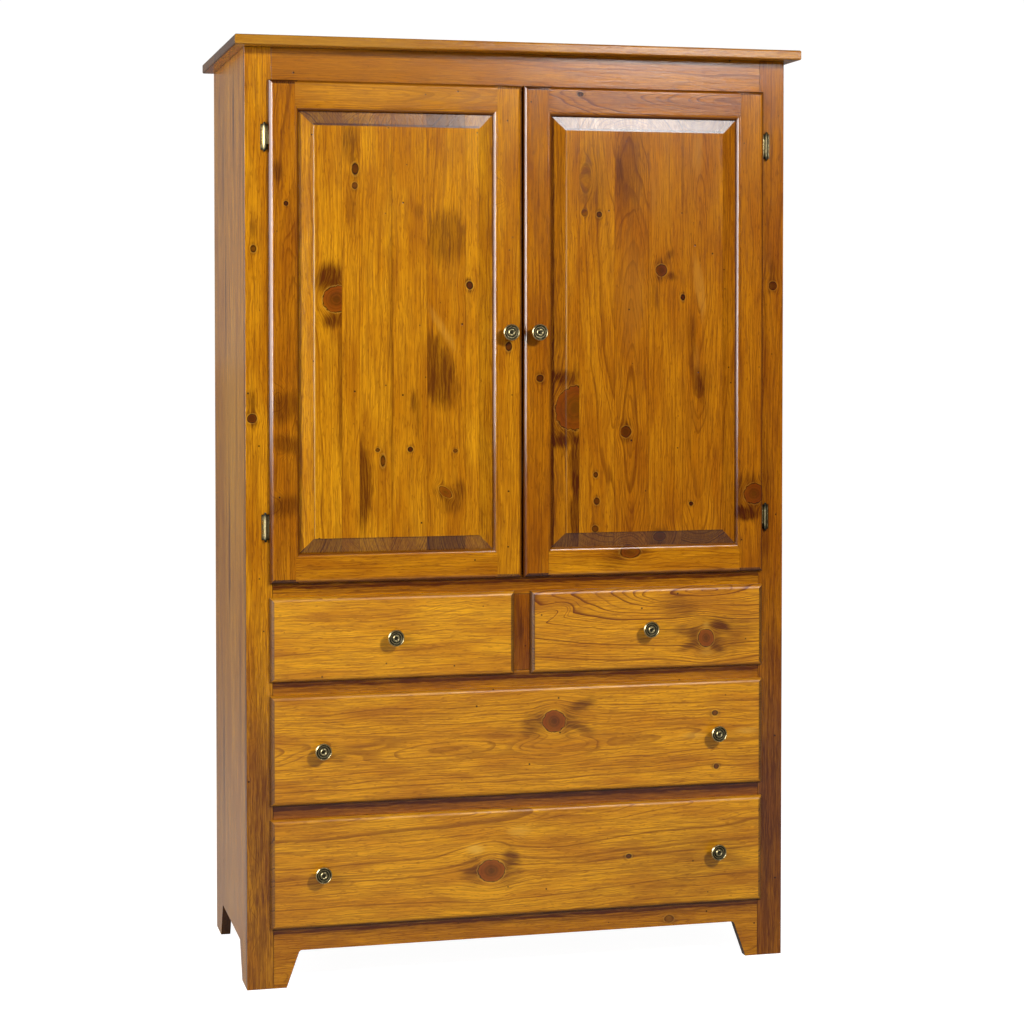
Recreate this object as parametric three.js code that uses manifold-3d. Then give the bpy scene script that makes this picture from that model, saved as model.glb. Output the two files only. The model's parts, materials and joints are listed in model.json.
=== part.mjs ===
// A pine television armoire: a face-framed case with a pair of lipped raised-panel doors over
// two small and two full-width lipped drawers, on bracket feet cut from its own boards.
// Millimetres. X runs to the right, Y to the back, Z up. The origin is on the floor, under the
// middle of the top board.
import * as THREE from "three";
import { mergeVertices } from "three/addons/utils/BufferGeometryUtils.js";
import Module from "manifold-3d";

const wasm = await Module();
wasm.setup();

// Case
const caseWidth = 1067;
const caseDepth = 483;
const sideThickness = 19;
const seatGap = 0.3; // glue line or seat between two pieces that touch
const cutOverrun = 5; // how far a cut runs past the face it opens
const weldTolerance = 0.0001; // corners closer than this are one corner

// Top board
const topThickness = 19;
const topSideOverhang = 22;
const topFrontOverhang = 38;
const topBackOverhang = 12;
const topEdgeRound = 3;
const topEdgeSteps = 3;

// Face frame
const stileWidth = 50;
const frameThickness = 19;
const railHeight = 38;
const baseRailHeight = 49;
const topRailHeight = 66;
const dividerWidth = 44;
const tenonLength = 25;
const dividerTenonLength = 12;
const tenonThickness = 7;
const tenonShoulder = 6;

// Openings in the face frame, from the floor up
const footHeight = 70;
const largeDrawerOpening = 196;
const smallDrawerOpening = 148;
const doorOpening = 933;

// Feet
const frontFootWidth = 75; // at the floor, from the outer corner
const frontFootSlant = 25; // how much wider the foot is at the rail
const sideFootWidth = 72;
const sideFootSlant = 34;
const footFillet = 6;
const footFilletSteps = 4;

// Inside the case
const deckThickness = 19;
const deckTongueThickness = 10; // only the lower part of the deck's ends goes into the sides
const dadoDepth = 6;
const shelfThickness = 19;
const shelfEndClearance = 1.5;
const shelfFrontSetback = 12;
const shelfBackClearance = 4;
const shelfHeight = 1400; // underside of the shelf above the floor
const backThickness = 6;
const backRabbetWidth = 10;
const rearBaseRailThickness = 19;
const cableHoleWidth = 150;
const cableHoleHeight = 80;
const cableHoleCorner = 12;
const cableHoleCornerSteps = 4;
const cableHoleAboveDeck = 140;

// Shelf pins and their rows of holes
const pinRadius = 2.2;
const pinHoleRadius = 2.5;
const pinHoleDepth = 11;
const pinEndClearance = 1; // between the end of a pin and the bottom of its hole
const pinHolePitch = 32;
const pinHolesEachWay = 2; // above and below the shelf in use
const pinFrontSetback = 45; // hole row behind the face frame
const pinBackSetback = 55; // hole row in front of the back panel
const pinTabLength = 12;
const pinTabWidth = 9;
const pinTabThickness = 2.5;
const pinSides = 10;

// Web frames that carry the drawers
const webThickness = 19;
const webRailWidth = 60;
const runnerWidth = 45; // inwards from the opening's edge
const centreRunnerWidth = 130;
const guideHeight = 14;
const guideGap = 1;

// Lips that doors and drawer fronts share
const lipOverlap = 6;
const lipThickness = 9.5;
const lipRound = 8;
const lipRoundSteps = 4;

// Doors
const doorThickness = 19;
const doorMeetingGap = 3;
const doorFrameWidth = 57;
const stickingWidth = 8;
const stickingQuirk = 1;
const stickingSteps = 4;
const panelGrooveWidth = 6;
const panelGrooveDepth = 10;
const panelGrooveLand = 1; // flat edge between the moulding and the groove
const panelEdgeClearance = 1.5; // room for the panel to swell in its grooves
const panelFieldDepth = 1.5; // field below the face of the door frame
const panelShoulder = 2.5;
const panelBevelWidth = 27;

// Hinges
const leafThickness = 1.2;
const hingeGap = 0.3;
const hingeRunningGap = 0.5;
const barrelRadius = 3.5;
const barrelOffset = 7; // barrel axis outside the edge of the door
const hingeInset = 107; // hinge centre from the top or bottom edge of the door
const barrelLength = 47;
const outerKnuckleLength = 10;
const hingePinRadius = 1.5;
const hingeBoreClearance = 0.25;
const finialLength = 4.5;
const finialRadius = 2.6;
const leafOutside = 7; // frame leaf beyond the barrel axis, on the face of the stile
const frameWrapDepth = 15;
const doorWingWidth = 14;
const springSlotHeight = 7.5;
const springSlotWidth = 1.6;
const springSlotRise = 9; // slot centre above or below the hinge centre
const springSlotOffset = 5; // slot centre outside the barrel axis
const barrelSides = 12;

// Drawers
const drawerFrontThickness = 19;
const drawerLipGap = 0.5;
const drawerInset = 2; // clearance round the drawer in its opening
const drawerRunningGap = 0.5;
const drawerSideThickness = 12;
const drawerBackThickness = 12;
const drawerTopClearance = 12;
const drawerBackDrop = 6; // back lower than the sides
const drawerRearClearance = 35; // behind the drawer box when it is shut
const drawerBottomThickness = 6;
const drawerBottomRise = 8;
const drawerGrooveDepth = 6;
const tailLength = 9;
const tailPitch = 44; // the count of tails follows the height of the side
const fewestTails = 2;
const tailRootShare = 0.42;
const tailTipShare = 0.62;

// Knobs
const knobRadius = 16;
const knobProjection = 25;
const knobBoltRadius = 2;
const knobBoltHoleRadius = 2.5;
const knobBoltHeadRadius = 4.5;
const knobBoltHeadHeight = 2;
const knobSides = 20;
const knobHoleSides = 10;
const doorKnobFromCentre = 28;
const largeDrawerKnobInset = 97.5; // knob axis from the end of a large drawer front
// Turned outline from the base to the dimple: share of the radius, share of the projection.
const knobOutlineShares = [
  [0.44, 0.0],
  [0.44, 0.07],
  [0.3, 0.22],
  [0.3, 0.44],
  [0.72, 0.66],
  [1.0, 0.76],
  [1.0, 0.88],
  [0.88, 0.93],
  [0.68, 0.83],
  [0.47, 0.84],
  [0.42, 0.98],
  [0.3, 1.0],
  [0.2, 0.93],
  [0.0, 0.92],
];

// Heights of the face frame, worked out from the floor up
const baseRailTop = footHeight + baseRailHeight;
const lowerRailBottom = baseRailTop + largeDrawerOpening;
const lowerRailTop = lowerRailBottom + railHeight;
const upperRailBottom = lowerRailTop + largeDrawerOpening;
const upperRailTop = upperRailBottom + railHeight;
const doorRailBottom = upperRailTop + smallDrawerOpening;
const doorRailTop = doorRailBottom + railHeight;
const topRailBottom = doorRailTop + doorOpening;
const caseHeight = topRailBottom + topRailHeight;

// Places across and through the case
const topDepth = topFrontOverhang + caseDepth + topBackOverhang;
const faceY = topFrontOverhang - topDepth / 2; // front of the face frame
const caseHalf = caseWidth / 2;
const openingHalf = caseHalf - stileWidth;
const innerHalf = caseHalf - sideThickness;
const caseFrontY = frameThickness + seatGap; // side panels and inner parts start here, behind the face
const backPanelY = caseDepth - backThickness; // front of the back panel, behind the face
const deckBottom = doorRailTop - deckThickness;
const deckTongueTop = deckBottom + deckTongueThickness;
const dadoEnd = innerHalf + dadoDepth - seatGap;
const rearRailFrontY = backPanelY - seatGap - rearBaseRailThickness;

// Door places
const doorLipGap = leafThickness + hingeGap + hingeGap; // room for a leaf behind the lip
const doorInset = leafThickness + leafThickness + seatGap + seatGap + hingeRunningGap;
const doorFrontY = -(doorLipGap + lipThickness);
const doorOuter = openingHalf + lipOverlap;
const doorInner = doorMeetingGap / 2;
const doorHeight = doorOpening + lipOverlap + lipOverlap;
const hingeX = doorOuter + barrelOffset;
const hingeY = -(barrelRadius + hingeGap);
const upperHingeZ = topRailBottom + lipOverlap - hingeInset;
const lowerHingeZ = doorRailTop - lipOverlap + hingeInset;

// Materials
function finish(name, color, roughness, metalness) {
  return new THREE.MeshStandardMaterial({ name, color, roughness, metalness });
}

const pine = finish("pine", 0xc17d20, 0.38, 0);
const pineFront = finish("pine_front", 0xcc8826, 0.36, 0);
const plainPine = finish("plain_pine", 0xd9b27c, 0.7, 0);
const plywood = finish("plywood", 0xcaa26a, 0.75, 0);
const antiqueBrass = finish("antique_brass", 0x8a7c58, 0.35, 0.9);

// Frames that lay a drawn outline in a plane: drawn x, drawn y, and the way it is extruded.
const layXZ = new THREE.Matrix4().makeBasis(
  new THREE.Vector3(1, 0, 0),
  new THREE.Vector3(0, 0, 1),
  new THREE.Vector3(0, -1, 0),
);
const layYZ = new THREE.Matrix4().makeBasis(
  new THREE.Vector3(0, 1, 0),
  new THREE.Vector3(0, 0, 1),
  new THREE.Vector3(1, 0, 0),
);

// A three.js geometry as a solid that can be joined and cut.
function solidOf(geometry) {
  const bare = geometry.clone();
  bare.deleteAttribute("normal");
  bare.deleteAttribute("uv");
  const merged = mergeVertices(bare, weldTolerance);
  return new wasm.Manifold(
    new wasm.Mesh({
      numProp: 3,
      vertProperties: new Float32Array(merged.attributes.position.array),
      triVerts: new Uint32Array(merged.index.array),
    }),
  );
}

// A board between two corners, in any order.
function board(x0, x1, y0, y1, z0, z1) {
  const geometry = new THREE.BoxGeometry(Math.abs(x1 - x0), Math.abs(y1 - y0), Math.abs(z1 - z0));
  geometry.translate((x0 + x1) / 2, (y0 + y1) / 2, (z0 + z1) / 2);
  return solidOf(geometry);
}

function outline(points) {
  return new THREE.Shape(points.map(([x, y]) => new THREE.Vector2(x, y)));
}

// An outline drawn in x and y, standing from z0 to z1.
function uprightPrism(points, z0, z1) {
  const geometry = new THREE.ExtrudeGeometry(outline(points), { depth: z1 - z0, bevelEnabled: false });
  geometry.translate(0, 0, z0);
  return solidOf(geometry);
}

// An outline drawn in x and z, reaching from front y0 to back y1.
function facingPrism(points, y0, y1) {
  const geometry = new THREE.ExtrudeGeometry(outline(points), { depth: y1 - y0, bevelEnabled: false });
  geometry.applyMatrix4(layXZ);
  geometry.translate(0, y1, 0);
  return solidOf(geometry);
}

// An outline drawn in y and z, reaching from x0 to x1.
function crossPrism(points, x0, x1) {
  const geometry = new THREE.ExtrudeGeometry(outline(points), { depth: x1 - x0, bevelEnabled: false });
  geometry.applyMatrix4(layYZ);
  geometry.translate(x0, 0, 0);
  return solidOf(geometry);
}

// A round bar along Y between two depths.
function barAlongY(radius, x, z, y0, y1, sides) {
  const geometry = new THREE.CylinderGeometry(radius, radius, y1 - y0, sides);
  geometry.translate(x, (y0 + y1) / 2, z);
  return solidOf(geometry);
}

// A round bar along X between two places.
function barAlongX(radius, x0, x1, y, z, sides) {
  const geometry = new THREE.CylinderGeometry(radius, radius, Math.abs(x1 - x0), sides);
  geometry.rotateZ(Math.PI / 2);
  geometry.translate((x0 + x1) / 2, y, z);
  return solidOf(geometry);
}

// A turned piece on the Z axis, from its outline of [radius, height] points.
function turnedAlongZ(points, sides) {
  const geometry = new THREE.LatheGeometry(
    points.map(([radius, height]) => new THREE.Vector2(radius, height)),
    sides,
  );
  geometry.rotateX(Math.PI / 2);
  return solidOf(geometry);
}

// A round bar on the Z axis between two heights.
function barAlongZ(radius, z0, z1, sides) {
  const points = [
    [0, z0],
    [radius, z0],
    [radius, z1],
    [0, z1],
  ];
  return turnedAlongZ(points, sides);
}

function arcPoints(cx, cy, radius, from, to, steps) {
  return Array.from({ length: steps + 1 }, (_, i) => {
    const angle = from + ((to - from) * i) / steps;
    return [cx + radius * Math.cos(angle), cy + radius * Math.sin(angle)];
  });
}

// Adds a finished solid to its group as a named mesh.
function addPiece(group, name, solid, material) {
  const made = solid.getMesh();
  const geometry = new THREE.BufferGeometry();
  geometry.setAttribute("position", new THREE.BufferAttribute(made.vertProperties, 3));
  geometry.setIndex(new THREE.BufferAttribute(made.triVerts, 1));
  const flat = geometry.toNonIndexed();
  flat.computeVertexNormals();
  const mesh = new THREE.Mesh(flat, material);
  mesh.name = name;
  group.add(mesh);
}

const armoire = new THREE.Group();

// Everything in the case is drawn from the face of the frame backwards.
const carcass = new THREE.Group();
carcass.position.y = faceY;
armoire.add(carcass);

// Top board

function addTopBoard() {
  const halfWidth = caseHalf + topSideOverhang - topEdgeRound;
  const front = -topFrontOverhang + topEdgeRound;
  const back = caseDepth + topBackOverhang - topEdgeRound;
  const geometry = new THREE.ExtrudeGeometry(
    outline([
      [-halfWidth, front],
      [halfWidth, front],
      [halfWidth, back],
      [-halfWidth, back],
    ]),
    {
      depth: topThickness - topEdgeRound - topEdgeRound,
      bevelSize: topEdgeRound,
      bevelThickness: topEdgeRound,
      bevelSegments: topEdgeSteps,
    },
  );
  geometry.translate(0, 0, caseHeight + seatGap + topEdgeRound);
  addPiece(carcass, "top_board", solidOf(geometry), pine);
}

// Face frame

// The tenons on both ends of a rail, or the mortises for them when grow is the seat gap.
function railTenons(bottom, top, grow) {
  const middleY = frameThickness / 2;
  const reach = openingHalf + tenonLength + grow;
  return board(
    -reach,
    reach,
    middleY - tenonThickness / 2 - grow,
    middleY + tenonThickness / 2 + grow,
    bottom + tenonShoulder - grow,
    top - tenonShoulder + grow,
  );
}

const frameRails = [
  ["lower_drawer_rail", lowerRailBottom, lowerRailTop],
  ["upper_drawer_rail", upperRailBottom, upperRailTop],
  ["door_rail", doorRailBottom, doorRailTop],
  ["top_rail", topRailBottom, caseHeight],
];

// The divider's tenons into the rails above and below it, or their mortises.
function dividerTenons(grow) {
  const middleY = frameThickness / 2;
  const half = dividerWidth / 2 - tenonShoulder + grow;
  return board(
    -half,
    half,
    middleY - tenonThickness / 2 - grow,
    middleY + tenonThickness / 2 + grow,
    upperRailTop - dividerTenonLength - grow,
    doorRailBottom + dividerTenonLength + grow,
  );
}

// Where the frame leaves are let into the face of a stile.
function leafRecesses(side) {
  return [upperHingeZ, lowerHingeZ].map((z) =>
    board(
      side * (hingeX + leafOutside + seatGap),
      side * (openingHalf - cutOverrun),
      -cutOverrun,
      leafThickness + seatGap,
      z - barrelLength / 2 - seatGap,
      z + barrelLength / 2 + seatGap,
    ),
  );
}

function addStile(name, side) {
  let stile = board(side * openingHalf, side * caseHalf, 0, frameThickness, 0, caseHeight);
  for (const [, bottom, top] of [...frameRails, ["base_rail", footHeight, baseRailTop]]) {
    stile = stile.subtract(railTenons(bottom, top, seatGap));
  }
  for (const recess of leafRecesses(side)) stile = stile.subtract(recess);
  addPiece(carcass, name, stile, pine);
}

function addFrameRails() {
  const half = openingHalf - seatGap;
  for (const [name, bottom, top] of frameRails) {
    let rail = board(-half, half, 0, frameThickness, bottom, top).add(railTenons(bottom, top, 0));
    if (name === "upper_drawer_rail" || name === "door_rail") rail = rail.subtract(dividerTenons(seatGap));
    addPiece(carcass, name, rail, pine);
  }
  const divider = board(
    -dividerWidth / 2,
    dividerWidth / 2,
    0,
    frameThickness,
    upperRailTop + seatGap,
    doorRailBottom - seatGap,
  );
  addPiece(carcass, "drawer_divider", divider.add(dividerTenons(0)), pine);
}

// A foot cut-out from the floor to footHeight: straight slants and a small fillet at each top corner.
function footCutOut(start, end, slant) {
  const lean = Math.atan2(slant, footHeight);
  const turn = Math.PI / 2 - lean; // the path turns through this angle at each top corner
  const back = footFillet * Math.tan(turn / 2);
  const centreZ = footHeight - footFillet;
  const leftCentre = start + slant + back;
  const rightCentre = end - slant - back;
  return [
    [start - (slant * cutOverrun) / footHeight, -cutOverrun],
    ...arcPoints(leftCentre, centreZ, footFillet, Math.PI - lean, Math.PI / 2, footFilletSteps),
    ...arcPoints(rightCentre, centreZ, footFillet, Math.PI / 2, lean, footFilletSteps),
    [end + (slant * cutOverrun) / footHeight, -cutOverrun],
  ];
}

function addBaseRail() {
  const half = openingHalf - seatGap;
  const footEdge = caseHalf - frontFootWidth;
  const cutOut = footCutOut(-footEdge, footEdge, frontFootSlant);
  const rail = board(-half, half, 0, frameThickness, 0, baseRailTop)
    .subtract(facingPrism(cutOut, -cutOverrun, frameThickness + cutOverrun))
    .add(railTenons(footHeight, baseRailTop, 0));
  addPiece(carcass, "base_rail", rail, pine);
}

// Side panels

const webTops = [baseRailTop, lowerRailTop, upperRailTop];
const pinRows = [caseFrontY + pinFrontSetback, backPanelY - pinBackSetback];
const pinHeight = shelfHeight - seatGap - pinTabThickness - pinRadius;

function addSidePanel(name, side) {
  let panel = board(side * innerHalf, side * caseHalf, caseFrontY, caseDepth, 0, caseHeight);
  const cutOut = crossPrism(
    footCutOut(sideFootWidth, caseDepth - sideFootWidth, sideFootSlant),
    -sideThickness / 2 - cutOverrun,
    sideThickness / 2 + cutOverrun,
  );
  panel = panel.subtract(cutOut.translate([side * (caseHalf - sideThickness / 2), 0, 0]));
  for (const [bottom, top] of [
    ...webTops.map((z) => [z - webThickness, z]),
    [deckBottom, deckTongueTop],
  ]) {
    panel = panel.subtract(
      board(
        side * (innerHalf - cutOverrun),
        side * (innerHalf + dadoDepth),
        caseFrontY - cutOverrun,
        backPanelY + cutOverrun,
        bottom - seatGap,
        top + seatGap,
      ),
    );
  }
  panel = panel.subtract(
    board(
      side * (innerHalf - cutOverrun),
      side * (innerHalf + backRabbetWidth),
      backPanelY - seatGap,
      caseDepth + cutOverrun,
      -cutOverrun,
      caseHeight + cutOverrun,
    ),
  );
  for (const y of pinRows) {
    for (let row = -pinHolesEachWay; row <= pinHolesEachWay; row += 1) {
      const z = pinHeight + row * pinHolePitch;
      const from = side * (innerHalf - cutOverrun);
      const to = side * (innerHalf + pinHoleDepth);
      panel = panel.subtract(barAlongX(pinHoleRadius, from, to, y, z, pinSides));
    }
  }
  addPiece(carcass, name, panel, pine);
}

// Deck, shelf and back

// The deck lies clear between the sides, on a bare-faced tongue at each end.
function addDeck() {
  const end = innerHalf - seatGap;
  const back = backPanelY - seatGap;
  const body = board(-end, end, caseFrontY, back, deckBottom, doorRailTop);
  const tongues = board(-dadoEnd, dadoEnd, caseFrontY, back, deckBottom, deckTongueTop);
  addPiece(carcass, "tv_deck", body.add(tongues), pine);
}

function addShelf() {
  const end = innerHalf - shelfEndClearance;
  const shelf = board(
    -end,
    end,
    caseFrontY + shelfFrontSetback,
    backPanelY - shelfBackClearance,
    shelfHeight,
    shelfHeight + shelfThickness,
  );
  addPiece(carcass, "media_shelf", shelf, pine);
}

// A peg in its hole with a flat tab that the shelf lies on.
function addShelfPin(name, side, y) {
  const pegFrom = side * (innerHalf - pinTabThickness);
  const pegTo = side * (innerHalf + pinHoleDepth - pinEndClearance);
  const peg = barAlongX(pinRadius, pegFrom, pegTo, y, pinHeight, pinSides);
  const tabTop = shelfHeight - seatGap;
  const tab = board(
    side * (innerHalf - pinTabLength),
    side * (innerHalf - seatGap),
    y - pinTabWidth / 2,
    y + pinTabWidth / 2,
    tabTop - pinTabThickness,
    tabTop,
  );
  const heel = board(
    side * (innerHalf - seatGap - pinTabThickness),
    side * (innerHalf - seatGap),
    y - pinTabWidth / 2,
    y + pinTabWidth / 2,
    pinHeight - pinTabWidth / 2,
    tabTop,
  );
  addPiece(carcass, name, peg.add(tab).add(heel), antiqueBrass);
}

function addBack() {
  const half = innerHalf + backRabbetWidth - seatGap;
  const middleZ = doorRailTop + cableHoleAboveDeck + cableHoleHeight / 2;
  const cornerX = cableHoleWidth / 2 - cableHoleCorner;
  const cornerZ = cableHoleHeight / 2 - cableHoleCorner;
  const hole = [0, 1, 2, 3].flatMap((quarter) => {
    const start = (quarter * Math.PI) / 2;
    const end = start + Math.PI / 2;
    const x = quarter === 0 || quarter === 3 ? cornerX : -cornerX;
    const z = middleZ + (quarter < 2 ? cornerZ : -cornerZ);
    return arcPoints(x, z, cableHoleCorner, start, end, cableHoleCornerSteps);
  });
  const panel = board(-half, half, backPanelY, caseDepth, footHeight, caseHeight).subtract(
    facingPrism(hole, backPanelY - cutOverrun, caseDepth + cutOverrun),
  );
  addPiece(carcass, "back_panel", panel, plywood);
  const railEnd = innerHalf - seatGap;
  const rail = board(-railEnd, railEnd, rearRailFrontY, backPanelY - seatGap, footHeight, baseRailTop);
  addPiece(carcass, "rear_base_rail", rail, plainPine);
}

// Web frames: front and back rails, a runner under each drawer side and guides beside the drawers

function addWebFrame(name, top, back, hasCentreRunner) {
  const bottom = top - webThickness;
  const runnerInner = openingHalf - runnerWidth;
  let frame = board(-dadoEnd, dadoEnd, caseFrontY, back, bottom, top);
  const front = caseFrontY + webRailWidth;
  const rear = back - webRailWidth;
  const bays = hasCentreRunner
    ? [
        [-runnerInner, -centreRunnerWidth / 2],
        [centreRunnerWidth / 2, runnerInner],
      ]
    : [[-runnerInner, runnerInner]];
  for (const [x0, x1] of bays) {
    frame = frame.subtract(board(x0, x1, front, rear, bottom - cutOverrun, top + cutOverrun));
  }
  const middle = (bottom + top) / 2;
  const guide = (x0, x1) => board(x0, x1, caseFrontY, back, middle, top + guideHeight);
  const guideInner = openingHalf - drawerInset + guideGap;
  const guideOuter = innerHalf - seatGap;
  frame = frame.add(guide(-guideOuter, -guideInner)).add(guide(guideInner, guideOuter));
  const centreGuide = dividerWidth / 2 + drawerInset - guideGap;
  if (hasCentreRunner) frame = frame.add(guide(-centreGuide, centreGuide));
  addPiece(carcass, name, frame, plainPine);
}

// Hinges. Both leaves are drawn from the barrel axis; side points away from the middle of the case.

function addHinge(frameGroup, doorGroup, place, side) {
  const half = barrelLength / 2;
  const middleHalf = half - outerKnuckleLength - hingeGap;
  const openingEdge = side * (openingHalf - hingeX); // inner edge of the stile
  const doorSide = side * (openingHalf - doorInset - hingeX); // rebated edge of the door
  const faceFromAxis = -hingeY;
  const recessBack = faceFromAxis + leafThickness;

  // Frame leaf: let into the face of the stile, turned back along the stile's inner edge.
  const wrapOuter = openingEdge - side * seatGap;
  const wrapInner = wrapOuter - side * leafThickness;
  let frameLeaf = board(side * leafOutside, wrapInner, faceFromAxis, recessBack, -half, half);
  frameLeaf = frameLeaf.add(
    board(wrapOuter, wrapInner, faceFromAxis, faceFromAxis + frameWrapDepth, -half, half),
  );
  for (const up of [-1, 1]) {
    frameLeaf = frameLeaf.subtract(
      board(
        side * (springSlotOffset - springSlotWidth / 2),
        side * (springSlotOffset + springSlotWidth / 2),
        faceFromAxis - cutOverrun,
        recessBack + cutOverrun,
        up * springSlotRise - springSlotHeight / 2,
        up * springSlotRise + springSlotHeight / 2,
      ),
    );
  }
  for (const [z0, z1] of [
    [-half, -half + outerKnuckleLength],
    [half - outerKnuckleLength, half],
  ]) {
    frameLeaf = frameLeaf.add(barAlongZ(barrelRadius, z0, z1, barrelSides)).add(
      board(0, side * barrelRadius, 0, faceFromAxis + leafThickness / 2, z0, z1),
    );
  }
  const tip = half + finialLength;
  const pin = turnedAlongZ(
    [
      [0, -tip],
      [finialRadius / 2, -tip],
      [finialRadius, -half - finialLength / 2],
      [finialRadius, -half + hingeGap],
      [hingePinRadius, -half + hingeGap],
      [hingePinRadius, half - hingeGap],
      [finialRadius, half - hingeGap],
      [finialRadius, half + finialLength / 2],
      [finialRadius / 2, tip],
      [0, tip],
    ],
    barrelSides,
  );
  addPiece(frameGroup, place + "_hinge_frame_leaf", frameLeaf.add(pin), antiqueBrass);

  // Door leaf: behind the lip, back along the rebate, and out over the back of the door.
  const plateFront = faceFromAxis - hingeGap - leafThickness;
  const plateBack = faceFromAxis - hingeGap;
  const wrapFar = doorSide + side * seatGap;
  const wrapNear = wrapFar + side * leafThickness;
  const backOfDoor = doorFrontY + doorThickness - hingeY;
  let doorLeaf = barAlongZ(barrelRadius, -middleHalf, middleHalf, barrelSides);
  doorLeaf = doorLeaf.add(board(0, wrapFar, plateFront, plateBack, -middleHalf, middleHalf));
  doorLeaf = doorLeaf.add(
    board(wrapNear, wrapFar, plateFront, backOfDoor + seatGap + leafThickness, -middleHalf, middleHalf),
  );
  doorLeaf = doorLeaf.add(
    board(
      wrapNear,
      wrapNear - side * doorWingWidth,
      backOfDoor + seatGap,
      backOfDoor + seatGap + leafThickness,
      -middleHalf,
      middleHalf,
    ),
  );
  const bore = barAlongZ(hingePinRadius + hingeBoreClearance, -half, half, barrelSides);
  addPiece(doorGroup, place + "_hinge_door_leaf", doorLeaf.subtract(bore), antiqueBrass);
}

// Knobs: drawn from the wood's face at y = 0 outwards to -Y, with a bolt back through the wood

function knobSolid(woodThickness) {
  const headFront = -(woodThickness + seatGap);
  const turned = [
    [0, headFront - knobBoltHeadHeight],
    [knobBoltHeadRadius, headFront - knobBoltHeadHeight],
    [knobBoltHeadRadius, headFront],
    [knobBoltRadius, headFront],
    [knobBoltRadius, seatGap],
    ...knobOutlineShares.map(([radiusShare, projectionShare]) => [
      radiusShare * knobRadius,
      seatGap + projectionShare * knobProjection,
    ]),
  ];
  const geometry = new THREE.LatheGeometry(
    turned.map(([radius, out]) => new THREE.Vector2(radius, out)),
    knobSides,
  );
  geometry.rotateX(Math.PI);
  return solidOf(geometry);
}

function knobHole(x, z, woodThickness, front) {
  const back = front + woodThickness;
  return barAlongY(knobBoltHoleRadius, x, z, front - cutOverrun, back + cutOverrun, knobHoleSides);
}

function addKnob(group, name, x, front, z, woodThickness) {
  const seat = new THREE.Group();
  seat.position.set(x, front, z);
  group.add(seat);
  addPiece(seat, name, knobSolid(woodThickness), antiqueBrass);
}

// A lipped front: a rounded slab whose edges lie on the face frame, and a thinner block inside the
// opening behind it. insets are the widths of the rebate on the left, right, bottom and top edges.
function lippedBlank(x0, x1, z0, z1, front, thickness, insets) {
  const slab = new THREE.ExtrudeGeometry(
    outline([
      [x0 + lipRound, z0 + lipRound],
      [x1 - lipRound, z0 + lipRound],
      [x1 - lipRound, z1 - lipRound],
      [x0 + lipRound, z1 - lipRound],
    ]),
    { depth: thickness, bevelSize: lipRound, bevelThickness: lipRound, bevelSegments: lipRoundSteps },
  );
  slab.applyMatrix4(layXZ);
  slab.translate(0, front + lipRound + thickness, 0);
  const lip = solidOf(slab).intersect(board(x0, x1, front, front + lipThickness, z0, z1));
  const [left, right, bottom, top] = insets;
  const body = solidOf(slab).intersect(
    board(x0 + left, x1 - right, front, front + thickness, z0 + bottom, z1 - top),
  );
  return lip.add(body);
}

// Doors

// Half of the door frame's section: distance from the outer edge, depth from the front.
function frameSection() {
  const flat = doorFrameWidth - stickingWidth;
  const radius = stickingWidth - stickingQuirk;
  const grooveFront = stickingQuirk + radius + panelGrooveLand;
  const grooveBack = grooveFront + panelGrooveWidth;
  const grooveFloor = doorFrameWidth - panelGrooveDepth;
  return [
    [0, 0],
    [flat, 0],
    [flat, stickingQuirk],
    ...arcPoints(flat + stickingQuirk, stickingQuirk + radius, radius, -Math.PI / 2, 0, stickingSteps),
    [doorFrameWidth, grooveFront],
    [grooveFloor, grooveFront],
    [grooveFloor, grooveBack],
    [doorFrameWidth, grooveBack],
    [doorFrameWidth, doorThickness],
    [0, doorThickness],
  ];
}

// Takes the tongue and moulding of the neighbouring stile out of a rail end, a seat gap clear of it.
function copedBy(rail, stile, towardsRail) {
  return rail
    .subtract(stile.translate([towardsRail * seatGap, seatGap, 0]))
    .subtract(stile.translate([towardsRail * seatGap, -seatGap, 0]));
}

function raisedPanel(x0, x1, z0, z1) {
  const grooveFront = stickingWidth + panelGrooveLand;
  const tongueFront = doorFrontY + grooveFront + seatGap;
  const tongueBack = doorFrontY + grooveFront + panelGrooveWidth - seatGap;
  const field = doorFrontY + panelFieldDepth;
  const tongue = panelGrooveDepth - panelEdgeClearance;
  const bevel = tongue + panelBevelWidth;
  // Distance in from the edge of the panel, and depth.
  const cut = [
    [-cutOverrun, field - cutOverrun],
    [bevel, field - cutOverrun],
    [bevel, field + panelShoulder],
    [tongue, tongueFront],
    [-cutOverrun, tongueFront],
  ];
  const across = (points, edge, inwards) => points.map(([u, y]) => [edge + inwards * u, y]);
  const upwards = (points, edge, inwards) => points.map(([u, y]) => [y, edge + inwards * u]);
  return board(x0, x1, field, tongueBack, z0, z1)
    .subtract(uprightPrism(across(cut, x0, 1), z0 - cutOverrun, z1 + cutOverrun))
    .subtract(uprightPrism(across(cut, x1, -1), z0 - cutOverrun, z1 + cutOverrun))
    .subtract(crossPrism(upwards(cut, z0, 1), x0 - cutOverrun, x1 + cutOverrun))
    .subtract(crossPrism(upwards(cut, z1, -1), x0 - cutOverrun, x1 + cutOverrun));
}

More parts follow.
